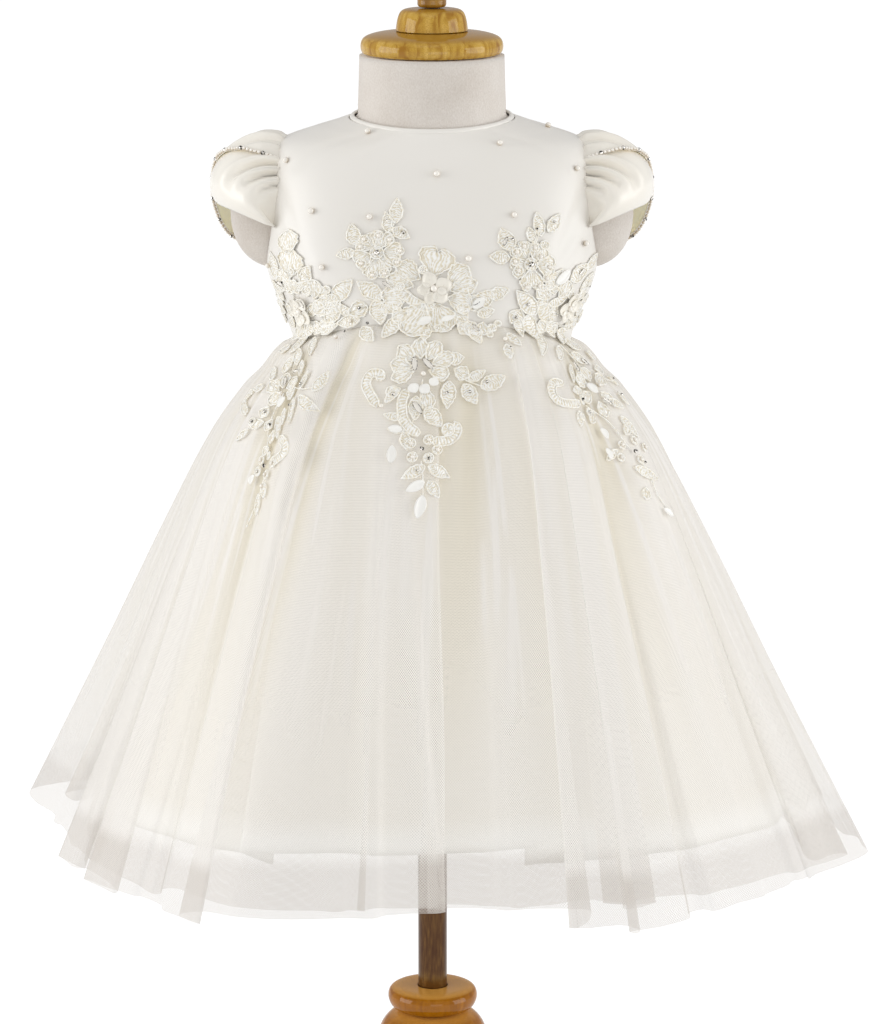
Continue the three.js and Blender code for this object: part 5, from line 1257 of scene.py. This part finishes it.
# Each part of the lace in degrees and millimetres up: leaves, round petals and notched petals by their foot,
# tip and width, eyelets by their middle and radius, and scrolls and stems by the places they pass through.
LACE = {
    "bodice_right": {
        "leaves": [
            (-69, 578, -73, 592, 12), (-55, 578, -51, 588, 9), (-62, 582, -67, 573, 14),
            (-53, 571, -54, 585, 7), (-42, 570, -34, 582, 9), (-46, 558, -39, 570, 10),
            (-68, 566, -73, 576, 6), (-72, 558, -79, 563, 6), (-55, 560, -49, 567, 6),
            (-66, 556, -71, 550, 6), (-41, 562, -47, 572, 6), (-50, 553, -42, 556, 6),
            (-63, 571, -58, 579, 6),
        ],
        "petals": [
            (-61, 580, -60, 596, 20), (-61, 593, -63, 606, 16), (-67, 571, -65, 580, 9),
            (-50, 570, -49, 581, 9), (-57, 572, -61, 578, 8), (-52, 562, -46, 566, 9),
            (-54, 556, -48, 551, 8), (-60, 554, -63, 548, 8), (-64, 559, -69, 561, 8),
            (-45, 565, -41, 573, 7), (-76, 556, -81, 553, 7), (-70, 563, -75, 568, 7),
        ],
        "notched": [],
        "eyelets": [(-47, 556, 2.4), (-56, 576, 2.2), (-69, 572, 2.4), (-44, 576, 2.0), (-59, 584, 1.8)],
        "scrolls": [[(-48, 578), (-46, 573), (-47, 568), (-51, 566)]],
        "stems": [[(-61, 565), (-60, 574), (-62, 590)], [(-50, 560), (-42, 563), (-36, 566)]],
    },
    "bodice_centre": {
        "leaves": [
            (-22, 572, -32, 581, 9), (-31, 560, -41, 557, 7), (-25, 571, -21, 558, 9),
            (-34, 601, -37, 612, 7), (-34, 597, -41, 595, 6), (-21, 608, -23, 619, 5),
            (-18, 613, -18, 626, 7), (-19, 610, -11, 605, 6), (17, 566, 28, 577, 9), (25, 573, 33, 577, 7),
            (-14, 562, -19, 552, 8), (1, 557, 8, 556, 5), (-2, 559, -3, 551, 6), (15, 560, 19, 550, 8),
            (-36, 562, -39, 568, 5), (20, 563, 27, 566, 6), (16, 572, 22, 569, 7), (-29, 556, -22, 550, 7),
            (-13, 570, -24, 566, 8),
        ],
        "petals": [
            (-5, 583, -16, 591, 12), (-8, 579, -20, 584, 10), (-9, 575, -22, 573, 12),
            (-3, 570, -11, 554, 18), (2, 570, 5, 555, 18), (7, 580, 17, 589, 13), (8, 577, 20, 581, 10),
            (7, 573, 18, 569, 12), (-36, 563, -28, 568, 9), (12, 560, 15, 554, 8), (22, 559, 20, 553, 7),
            (-10, 565, -17, 561, 9), (10, 565, 15, 559, 8),
        ],
        "notched": [
            (0, 584, 4, 601, 21), (-26, 599, -32, 605, 12), (-24.5, 599, -22.5, 609, 13),
            (-23, 597, -14, 597, 12), (-24, 596, -17, 588, 11), (-25, 595, -25, 583, 13),
            (-27, 596, -34, 591, 12),
        ],
        "eyelets": [
            (-25, 597, 3.4), (14, 567, 3.2), (-31, 604, 2.2), (-32, 600, 2.2), (-25, 606, 2.2),
            (-20, 604, 2.2), (-15, 598, 2.2), (-16, 592, 2.2), (-21, 586, 2.4), (-26, 585, 2.4),
            (-31, 591, 2.4), (25, 556, 2.2), (23, 553, 1.8), (28, 558, 1.8), (-4, 588, 2.2),
            (-14, 579, 2.2),
        ],
        "scrolls": [[(-17, 578), (-13, 575), (-8, 571), (-3, 568), (2, 569)]],
        "stems": [
            [(-22, 600), (-20, 607), (-18, 616)], [(-30, 574), (-20, 570), (-12, 570)],
            [(10, 571), (18, 566), (25, 571)],
        ],
    },
    "bodice_left": {
        "leaves": [
            (35, 598, 32, 610, 9), (34, 594, 26, 595, 7), (47, 605, 47, 618, 6), (50, 607, 56, 616, 6),
            (44, 602, 43, 610, 5), (59, 579, 69, 586, 9), (67, 584, 78, 590, 6), (45, 562, 36, 576, 9),
            (46, 567, 54, 556, 9), (41, 562, 44, 547, 9), (52, 557, 54, 547, 7), (62, 551, 57, 543, 8),
            (66, 572, 75, 580, 7), (38, 560, 36, 551, 6), (48, 575, 55, 586, 7), (70, 564, 79, 566, 6),
            (68, 555, 76, 549, 7), (30, 553, 33, 547, 5),
        ],
        "petals": [
            (40, 557, 34, 564, 9), (50, 570, 45, 577, 9), (52, 572, 51, 581, 9), (54, 570, 59, 578, 9),
            (50, 566, 45, 569, 8), (56, 560, 51, 563, 8), (64, 556, 66, 549, 8), (68, 561, 74, 559, 8),
            (66, 567, 71, 572, 8), (57, 555, 54, 551, 7), (47, 558, 49, 551, 8), (76, 556, 81, 553, 7),
        ],
        "notched": [
            (41, 592, 37, 602, 12), (43, 592, 47.5, 600, 12), (44, 590, 52, 587, 12),
            (42, 588, 42, 576, 13), (41, 590, 34, 587, 11),
        ],
        "eyelets": [
            (42, 590, 3.4), (37, 597, 2.2), (40, 600, 2.2), (44, 599, 2.2), (46, 594, 2.2), (49, 588, 2.2),
            (48, 582, 2.2), (45, 578, 2.4), (40, 578, 2.4), (37, 587, 2.4), (36, 592, 2.2), (48, 600, 2.4),
            (60, 571, 2.2), (72, 575, 2.0),
        ],
        "scrolls": [[(50, 581), (54, 578), (57, 573), (55, 568), (50, 567)]],
        "stems": [
            [(44, 600), (46, 605), (47, 612)], [(44, 565), (50, 572), (60, 580)],
            [(58, 553), (66, 552), (74, 554)],
        ],
    },
    "drop_centre": {
        "leaves": [
            (6, 541, 12, 542, 7), (6, 530, 5, 516, 8), (11, 528, 15, 518, 8), (17, 526, 25, 532, 8),
            (-8, 506, -12.5, 507, 4), (-8, 505, -7, 496, 5), (-2, 487, -8, 481, 6), (-1, 487, 5, 480, 6),
            (-1, 479, 2, 470, 6), (-5, 523, -5, 511, 7), (-2, 517, 3, 507, 8), (-14, 520, -11, 527, 4),
            (13, 530, 19, 535, 5), (-9, 512, -14, 514, 4),
        ],
        "petals": [
            (-6, 541, -12, 548, 9), (-4, 542, -4.5, 552, 9), (-2, 541, 3, 550, 9), (0, 539, 8, 543, 9),
            (-1, 536, 6, 533, 9), (-7, 538, -14, 540, 9), (-6, 536, -13, 532, 9), (8, 536, 13, 532, 8),
            (-2, 527, -1, 516, 8), (-10, 527, -14, 524, 7),
        ],
        "notched": [],
        "eyelets": [
            (-6, 499, 2.5), (-1, 500.5, 2.5), (1.5, 495, 2.5), (-1, 491, 2.6), (-5.5, 492, 2.6),
            (5, 505, 3.4), (-12, 525, 2.6),
        ],
        "scrolls": [
            [(-7.5, 528), (-9, 523), (-9, 517), (-8.3, 511), (-6.3, 506), (-3.5, 502)],
            [(6.5, 509), (8, 505), (6, 500), (2.5, 499), (0, 500)],
            [(-16, 516), (-18.5, 522), (-21, 529), (-20, 535), (-17, 535), (-17, 531)],
        ],
        "stems": [
            [(-3, 490), (-2.5, 482), (-2.5, 470), (-3.5, 462)], [(8, 534), (12, 530), (17, 527)],
            [(-3, 532), (-4, 520), (-6, 508)],
        ],
    },
    "drop_right": {
        "leaves": [
            (-60, 538, -56, 550, 7), (-50, 548, -46, 540, 6), (-47, 551, -40, 557, 5),
            (-57, 528, -56, 537, 6), (-60, 524, -66, 529, 6), (-42, 524, -42, 533, 4),
            (-36, 524, -34, 534, 6), (-40, 521, -33, 514, 6), (-43, 519, -40, 507, 4.5),
            (-49, 507, -43, 498, 7), (-58, 498, -61, 491, 4), (-43, 475, -41, 468, 6),
            (-45, 468, -43, 458, 6), (-52, 556, -62, 545, 8), (-58, 554, -70, 542, 7),
            (-42, 557, -47, 550, 7), (-64, 540, -72, 536, 6), (-50, 536, -47, 529, 5),
            (-55, 541, -52, 533, 6), (-62, 519, -69, 516, 5), (-47, 512, -44, 505, 5),
        ],
        "petals": [
            (-54, 519, -60, 522, 8), (-53, 521, -55, 528, 8), (-51, 521, -47, 527, 8),
            (-51, 518, -56, 513, 8), (-50, 519, -45, 521, 8), (-55, 511, -56, 505, 7),
            (-51, 505, -52, 499, 6), (-48, 500, -47, 494, 6), (-54, 503, -58, 500, 6),
            (-47, 491, -50, 488, 5),
        ],
        "notched": [],
        "eyelets": [
            (-49, 484, 2.3), (-49, 478, 2.5), (-41, 486, 2.3), (-43, 479, 2.4), (-45, 488, 2.1),
            (-70, 513, 2.8), (-55, 508, 2.5), (-58, 502, 2.3), (-43, 472, 2.2),
        ],
        "scrolls": [
            [(-42, 500), (-39, 498), (-38, 493), (-40, 488), (-43, 485)],
            [(-68, 516), (-71, 513), (-71, 508), (-67, 505), (-63, 504)],
        ],
        "stems": [
            [(-53, 530), (-55, 540), (-60, 549)], [(-44, 478), (-44, 466), (-46, 456), (-47, 449)],
            [(-52, 516), (-51, 500), (-46, 486)], [(-48, 523), (-41, 524), (-36, 526)],
        ],
    },
    "drop_left": {
        "leaves": [
            (46, 551, 40, 541, 6), (28, 548, 28, 541, 4), (16, 557, 19, 549, 6), (58, 538, 64, 531, 6),
            (54, 533, 50, 525, 4), (57, 530, 55, 521, 5), (66, 528, 75, 524, 6), (70, 514, 73, 506, 5),
            (62, 504, 65, 492, 6), (58, 478, 65, 469, 6), (52, 543, 47, 537, 6), (60, 544, 68, 538, 7),
            (52, 520, 46, 522, 5), (44, 512, 42, 505, 5), (70, 535, 78, 530, 6), (61, 513, 66, 507, 5),
            (55, 488, 50, 484, 4), (60, 495, 64, 500, 5),
        ],
        "petals": [
            (57, 521, 53, 526, 8), (59, 523, 60, 530, 8), (61, 521, 67, 524, 8), (60, 517, 62, 511, 8),
            (56, 518, 51, 515, 8), (77, 520, 82, 516, 7), (57, 513, 57, 505, 7), (53, 509, 49, 504, 6),
            (59, 467, 58, 461, 6),
        ],
        "notched": [],
        "eyelets": [
            (57, 490, 2.2), (62, 491, 2.3), (65, 486, 2.3), (61, 481, 2.2), (55, 484, 2.2), (49, 516, 2.6),
            (50, 509, 2.4), (79, 518, 2.6), (44, 509, 2.2),
        ],
        "scrolls": [[(43, 528), (39, 529), (37, 524), (38, 518), (42, 515), (47, 514)]],
        "stems": [
            [(50, 513), (56, 504), (58, 494), (59, 487)], [(61, 481), (62, 472), (62, 462), (64, 452)],
            [(59, 524), (58, 534), (54, 544)], [(66, 523), (74, 519), (80, 517)],
        ],
    },
}
LACE_FILLED = 0.6  # of the strip that a motif is cut from
THREAD_SHEEN = {"Sheen_Weight": 0.5, "Sheen_Roughness": 0.3}


def lace_fill():
    """Close satin-stitch ribs, in painted light and shade: a painted highlight on their crests, and creamy
    shade painted in the gaps and towards the cord.
    """
    material, node = finish("lace_fill", srgb(250, 246, 238), Roughness=0.22, **THREAD_SHEEN)
    rib = node("Attribute", attribute_name="rib")["Fac"]
    edge = node("Attribute", attribute_name="edge")["Fac"]
    # painted light and shade: bright on the rib crests, and creamy in the gaps and near the cord, where shade
    # falls between the threads
    crest = maths(node, "COSINE", maths(node, "MULTIPLY", rib, 2 * np.pi))
    painted_crest_light = between(node, maths(node, "MULTIPLY_ADD", noise(node, 560.0), 6.5, crest), 2.0, 4.0)
    share = maths(node, "MULTIPLY", painted_crest_light, between(node, edge, 0.68, 0.95, 1.0, 0.0))
    blend(node, share, srgb(230, 220, 196), srgb(255, 254, 250), into="Base Color")
    high = maths(node, "MULTIPLY_ADD", noise(node, 1900.0), 0.35, painted_crest_light)
    node("Bump", {"Height": high, "Strength": 0.55, "Distance": 0.0003}, into="Normal")
    return material


def lace_cord():
    """A thick soft cord, whipped with thread, so its sheen is broken at every turn of the whipping."""
    material, node = finish("lace_cord", srgb(254, 251, 243), Roughness=0.3, **THREAD_SHEEN)
    turns = noise(node, 700.0, detail=1.0)
    blend(node, between(node, turns, 0.35, 0.6), srgb(246, 239, 222), srgb(255, 254, 249), into="Base Color")
    node("Bump", {"Height": turns, "Strength": 0.5, "Distance": 0.0003}, into="Normal")
    return material


fill_thread, cord_thread = lace_fill(), lace_cord()
for name, parts in LACE.items():
    made = [stitched(parts[kind], **outline) for kind, outline in OUTLINES.items() if parts[kind]]
    made += [rings(parts["eyelets"])] + [scroll(points) for points in parts["scrolls"]]
    points, faces = joined([fill for fill, _, _ in made])
    rib, edge = (np.concatenate([shade[i] for _, _, shade in made]) for i in (0, 1))
    fills = piece(f"lace_fill_{name}", points, faces, fill_thread, "lace", rib=rib, edge=edge)
    cord_list = [cord for _, cord, _ in made] + [stem(points) for points in parts["stems"]]
    edging = piece(f"lace_cord_{name}", *joined(cord_list), cord_thread, "lace")
    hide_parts(f"lace_{name}")
    corner = points[faces]
    diagonals = np.cross(corner[:, 2] - corner[:, 0], corner[:, 3] - corner[:, 1])
    area = np.linalg.norm(diagonals, axis=1).sum() / 2 * MM**2
    long = np.ptp(points[:, 2]) * MM  # its pieces are cut from a strip as long as the motif
    size = (area / LACE_FILLED / long, long)

# ------------------------------------------------------------------ the satin petals, pearls and stones
# Three rosettes of five cupped satin petals round a pearl, loose satin leaves in the lace, pearls scattered
# over the bodice, and small foiled glass stones and pointed sequins with dark rims.

# Degrees, height and size.
ROSETTES = {"rosette_centre": (1, 578, 9.6), "rosette_right": (-58, 562, 9), "rosette_left": (61, 563, 9)}
ROSETTE_PETALS = [(118, 1.0), (184, 0.86), (249, 0.84), (313, 1.04), (14, 1.1)]  # way in degrees, size
SATIN_LEAVES = [  # foot, tip, width
    (0, 562, -6, 557, 5), (18, 567, 23, 573, 5), (52, 578, 58, 585, 6), (-7, 529, -5, 524, 6),
    (-4, 528, -1, 524, 6), (-1, 531, 2, 528, 5), (-11, 489, -11, 499, 5), (-2, 479, -7, 474, 5.5),
    (-2.5, 472, -4, 459, 6), (-8.5, 506, -12.5, 507, 4), (56, 522, 58, 515, 6), (52, 500, 53, 493, 5),
    (51, 490, 51, 483, 5), (-49, 517, -50, 510, 6), (-50, 476, -50, 470, 4.5), (4, 560, 10, 563, 4),
    (62, 454, 64, 448, 4),
]
BODICE_PEARLS = [  # degrees, height, radius
    (-45, 660, 1.7), (-71, 643, 1.7), (3, 639, 1.8), (-53, 618, 1.8), (-30, 616, 1.7), (-46, 588, 1.7),
    (-75, 584, 1.6), (42, 654, 1.7), (69, 639, 1.7), (38, 617, 1.7), (17, 594, 1.9), (67, 598, 1.7),
    (86, 659, 1.7),
]
LACE_PEARLS = [  # degrees, height, radius
    (1, 578, 2.0), (-58, 562, 1.8), (61, 563, 1.8), (28, 550, 1.4), (-15, 518, 1.3), (-3, 534, 1.5),
    (-31, 604, 1.2), (-32, 600, 1.2), (-25, 606, 1.2), (-20, 604, 1.2), (-15, 598, 1.2), (-16, 592, 1.2),
    (-21, 586, 1.2), (-26, 585, 1.2), (-31, 591, 1.2), (37, 597, 1.2), (40, 600, 1.2), (44, 599, 1.2),
    (46, 594, 1.2), (49, 588, 1.2), (48, 582, 1.2), (45, 578, 1.2), (40, 578, 1.2), (37, 587, 1.2),
    (36, 592, 1.2), (-49, 484, 1.2), (-41, 486, 1.2), (-43, 479, 1.2), (57, 490, 1.2), (62, 491, 1.2),
    (65, 486, 1.2), (61, 481, 1.2), (55, 484, 1.2), (-6, 499, 1.2), (-1, 500.5, 1.2), (1.5, 495, 1.2),
    (-5.5, 492, 1.2), (-37, 550, 1.3), (61, 520, 1.3), (-52, 518, 1.3), (-35, 559, 1.2), (-43, 473, 1.2),
]
STONES = [  # degrees, height, radius
    (-25, 597, 1.8), (42, 590, 1.8), (-3, 496, 1.5), (-45, 482.5, 1.5), (60, 485.5, 1.5), (-31, 567, 1.1),
    (-27, 558, 1.0), (-14, 608, 1.1), (41, 568, 1.1), (36, 561, 1.0), (46, 609, 0.9), (53, 612, 0.9),
    (5, 524, 1.0), (13, 524, 1.0), (19, 529, 1.0), (-12, 524, 1.1), (-42, 526, 1.0), (-43, 515, 0.9),
    (-55, 508, 1.1), (-58, 502, 1.0), (-51, 502, 1.0), (49, 516, 1.1), (50, 509, 1.0), (71, 512, 1.0),
    (79, 518, 1.0), (62, 479, 0.9), (-1, 491, 1.0), (-4, 485, 0.9), (-35, 553, 0.9), (29, 546, 0.9),
    (73, 573, 0.8), (-65, 577, 0.8), (-49, 478, 0.9), (36, 604, 0.9), (-22, 614, 0.8),
]
SEQUINS = [  # degrees, height, turn in degrees, length
    (-6, 539, 95, 8), (-1.5, 539, -50, 8), (-4.5, 517, -55, 8), (-66, 576, -15, 6), (-50, 530, 20, 5),
    (-53, 524, -60, 6), (18, 556, -60, 5), (60, 512, -50, 6), (20, 571, 40, 6), (33, 603, 60, 5),
    (64, 583, 40, 5), (-20, 580, -30, 5), (56, 531, -75, 6), (62, 532, -60, 6), (-57, 567, -45, 7),
]
rosette_satin = satin("rosette_satin", srgb(252, 248, 239), srgb(247, 242, 230), roughness=0.24)
# Each petal is a round of rings about its own middle, with a wavy outline, and cupped up to its rim.
reach, turn = np.meshgrid(np.linspace(0.03, 1, 8), circle(24), indexing="ij")
way, scale = np.array(ROSETTE_PETALS).T[:, :, None, None]
wavy = scale * reach * (1 + 0.09 * np.cos(3 * turn) - 0.05 * np.cos(2 * turn + way))
cupped = 1.0 + 0.4 * np.cos(way) + 1.6 * reach**3 * (1 + 0.35 * np.cos(turn)) + 0.5 * (1 - reach)
for name, (at, z, size) in ROSETTES.items():
    toward = np.radians(way + at)
    over, y = size * (0.55 + 0.41 * wavy * np.cos(turn)), size * 0.42 * wavy * np.sin(turn)
    x, y = over * np.cos(toward) - y * np.sin(toward), over * np.sin(toward) + y * np.cos(toward)
    shape = quads(local_to_dress((at, z), x, y, cupped)[0][:, ::-1], ring=True)
    made = piece(f"satin_{name}", *shape, rosette_satin, "satin", merge=True, thick=0.35)
    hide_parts(name)

foot_at, foot_z, tip_at, tip_z, wide = np.array(SATIN_LEAVES, float).T[:, :, None, None]
radius = ground_radius(foot_at, foot_z)
over, up = np.radians(tip_at - foot_at) * radius, tip_z - foot_z
length = np.hypot(over, up)
s, t = np.meshgrid(np.linspace(0.02, 0.98, 10), np.linspace(-1, 1, 7), indexing="ij")
half = wide / 2 * np.sin(np.pi * s**0.9) ** 0.75
high = 1.5 + 0.9 * t**2 * np.sin(np.pi * s) + 0.8 * s**2
x, y = over * s - up / length * t * half, up * s + over / length * t * half
leaf = local_to_dress((foot_at, foot_z), x, y, high)[0]
leaf_satin = satin("leaf_satin", srgb(255, 254, 251), srgb(253, 251, 244), roughness=0.22)
piece("satin_leaves", *quads(leaf[:, :, ::-1]), leaf_satin, "satin", thick=0.3)


def beads(rows, flat=1.0, sides=10, rounds=6, lift=0.55):
    """Beads on the dress, one for each row of degrees, height and radius: balls, flattened along the way out
    of the cloth and sunk a little into it. It also gives how far up each point lies on its bead, which sets
    the shade painted at its foot."""
    at, z, radius = np.array(rows, float).T[:, :, None, None]
    x, y, out = np.moveaxis(ball(rounds, sides) * (1, 1, flat), -1, 0)[..., None]
    base, normal = on_dress(at, z, 0 * at)
    side = unit(np.cross(normal, np.array([0, 0, -1.0])))
    centre = base + normal * (lift + radius[..., None] * 0.8)
    points = centre + radius[..., None] * (x * side + y * np.cross(normal, side) + out * normal)
    return points, out[..., 0] + 0 * radius


bead_coat = {"Coat_Weight": 0.8, "Coat_Roughness": 0.05}
# painted shade: the pearls darken towards their foot, where the cloth shades them, and the sequins and sleeve
# beads share this painted shade
bead_pearl, node = finish("bead_pearl", srgb(246, 240, 228), Roughness=0.18, **bead_coat)
crown = between(node, node("Attribute", attribute_name="crown")["Fac"], -0.5, 0.6)
blend(node, crown, srgb(204, 187, 162), srgb(252, 247, 238), into="Base Color")
rows = [beads(LACE_PEARLS), beads(BODICE_PEARLS, lift=0.0)]
points, crown = (np.concatenate([made[i] for made in rows]) for i in (0, 1))
piece("sewn_pearls", *quads(points, ring=True), bead_pearl, "pearl_button", merge=True, crown=crown)
foiled_glass, node = finish("foiled_glass", srgb(60, 56, 54), Metallic=1.0, Roughness=0.1)
# painted reflection: black and bright patches over the stones stand for the glints and dark reflections of
# their cut facets
painted_facet_glints = node("TexVoronoi", {"Vector": object_space(node), "Scale": 900.0})["Distance"]
blend(node, between(node, painted_facet_glints, 0.38, 0.6), srgb(14, 12, 12), srgb(236, 232, 226), into="Base Color")
points, _ = beads(STONES, flat=0.75, sides=6, rounds=4, lift=0.7)
piece("cut_stones", *quads(points, ring=True), foiled_glass, "pearl_button", merge=True, smooth=False)

at, z, turn, length = np.array(SEQUINS, float).T[:, :, None, None]
s, t = np.meshgrid(np.linspace(0, 1, 13), np.linspace(-1, 1, 5), indexing="ij")
half = length * 0.17 * np.sin(np.pi * s) ** 0.8
x, y = length * (s - 0.5), t * half
cosine, sine = np.cos(np.radians(turn)), np.sin(np.radians(turn))
boat = local_to_dress((at, z), x * cosine - y * sine, x * sine + y * cosine, 1.7 - 0.5 * (1 - t**2))[0]
# the sequins sit high on the painted shade's scale, so they take the light tone
crown = np.full(boat.shape[:-1], 0.7)
piece("pointed_sequins", *quads(boat[:, :, ::-1]), bead_pearl, "pearl_button", thick=0.25, crown=crown)
loop = circle(24)[None, None]
x, y = length * 0.5 * np.cos(loop), length * 0.18 * np.sin(loop)
edge, out = local_to_dress((at, z), x * cosine - y * sine, x * sine + y * cosine, 1.75 + 0 * loop)
piece("sequin_rims", *cords(edge[:, 0], out[:, 0], 0.16, closed=True, sides=4), foiled_glass, "pearl_button")

# The beads along each sleeve's edge: small pearls, and a cut stone in each repeat of six.
EDGE_BEADS = {"first": 1.2, "pitch": 2.3, "repeat": 6, "stone": 3, "off": 0.7, "inset": 0.004}
side, lap, folds, free_edge = PETALS["back"]
across = np.linspace(FREE_END + 0.002, 0.995, 800)
beaded = smooth_curve(*free_edge.T, across) - EDGE_BEADS["inset"]
edge, normal = petal_face(across, beaded, side, lap + EDGE_BEADS["off"], folds)
length = np.concatenate([[0], np.cumsum(np.linalg.norm(np.diff(edge, axis=0), axis=1))])
seats = np.arange(EDGE_BEADS["first"], length[-1], EDGE_BEADS["pitch"])
centre, outward = (
    np.stack([np.interp(seats, length, column) for column in along.T], -1) for along in (edge, normal)
)
is_stone = np.arange(len(seats)) % EDGE_BEADS["repeat"] == EDGE_BEADS["stone"]
bead = ball(6, 8)
for name, chosen, size, material in (
    ("sleeve_pearls", ~is_stone, 1.1, bead_pearl), ("sleeve_stones", is_stone, 1.25, foiled_glass),
):
    left = centre[chosen][:, None, None] + bead * size
    both = np.concatenate([left, left[:, :, ::-1] * (-1, 1, 1)])
    # how far each point faces out of the petal, for the shade painted at the beads' foot
    crown = (outward[chosen][:, None, None] * bead).sum(-1)
    crown = np.concatenate([crown, crown[:, :, ::-1]])
    smooth = material is bead_pearl
    piece(name, *quads(both, ring=True), material, "pearl_button", merge=True, smooth=smooth, crown=crown)

# ------------------------------------------------------------------ the floor, the lights and the camera
# A plain white floor of one sheet, which glows a little, under broad soft light from both sides. The camera
# stands in front of the dress, a little above it.

WHITE = (1, 1, 1, 1)
FLOOR = {"half": 30, "glow": 0.82}
STUDIO_GLOW = 0.58
glow = {"Emission_Color": WHITE, "Emission_Strength": FLOOR["glow"]}
floor_material, node = finish("plain_floor", srgb(160, 160, 160), Roughness=0.9, **glow)
corners = [(x * FLOOR["half"], y * FLOOR["half"], 0) for x, y in ((-1, -1), (1, -1), (1, 1), (-1, 1))]
floor_mesh = bpy.data.meshes.new("floor")
floor_mesh.from_pydata(corners, [], [(0, 1, 2, 3)])
floor_mesh.materials.append(floor_material)
floor = bpy.data.objects.new("floor", floor_mesh)
bpy.context.scene.collection.objects.link(floor)
floor.visible_diffuse = False

world = bpy.data.worlds.new("studio")
world.use_nodes = True
world.node_tree.nodes["Background"].inputs["Color"].default_value = WHITE
world.node_tree.nodes["Background"].inputs["Strength"].default_value = STUDIO_GLOW
scene = bpy.context.scene
scene.world = world
scene.view_settings.view_transform = "Standard"
scene.cycles.transparent_max_bounces = 32

AIM = (0, 0, 0.45)
LIGHTS = [  # name, place and size in metres, power
    ("low_box", (0.4, -2.3, 0.15), 1.3, 7),
    ("left_box", (-2.3, -0.6, 0.85), 1.6, 26),
    ("right_box", (2.3, -0.6, 0.8), 1.6, 22),
    ("top_box", (-0.2, -1.1, 2.4), 1.2, 3.4),
]


def aimed(place, at):
    """The turn that points an object's -Z axis from a place at another."""
    return (Vector(at) - Vector(place)).to_track_quat("-Z", "Y").to_euler()


for name, place, size, power in LIGHTS:
    lamp = bpy.data.lights.new(name, "AREA")
    lamp.shape = "SQUARE"
    lamp.size = size
    lamp.energy = power
    holder = bpy.data.objects.new(name, lamp)
    holder.location = place
    holder.rotation_euler = aimed(place, AIM)
    scene.collection.objects.link(holder)

CAMERA = {"x": 9, "y": -2348, "z": 937, "tilt": 12, "sensor": 36, "lens": 147.66}
lens = bpy.data.cameras.new("camera")
lens.sensor_width = CAMERA["sensor"]
lens.lens = CAMERA["lens"]
camera = bpy.data.objects.new("camera", lens)
camera.location = [CAMERA[axis] * MM for axis in "xyz"]
camera.rotation_euler = (np.radians(90 - CAMERA["tilt"]), 0, 0)
scene.collection.objects.link(camera)
scene.camera = camera
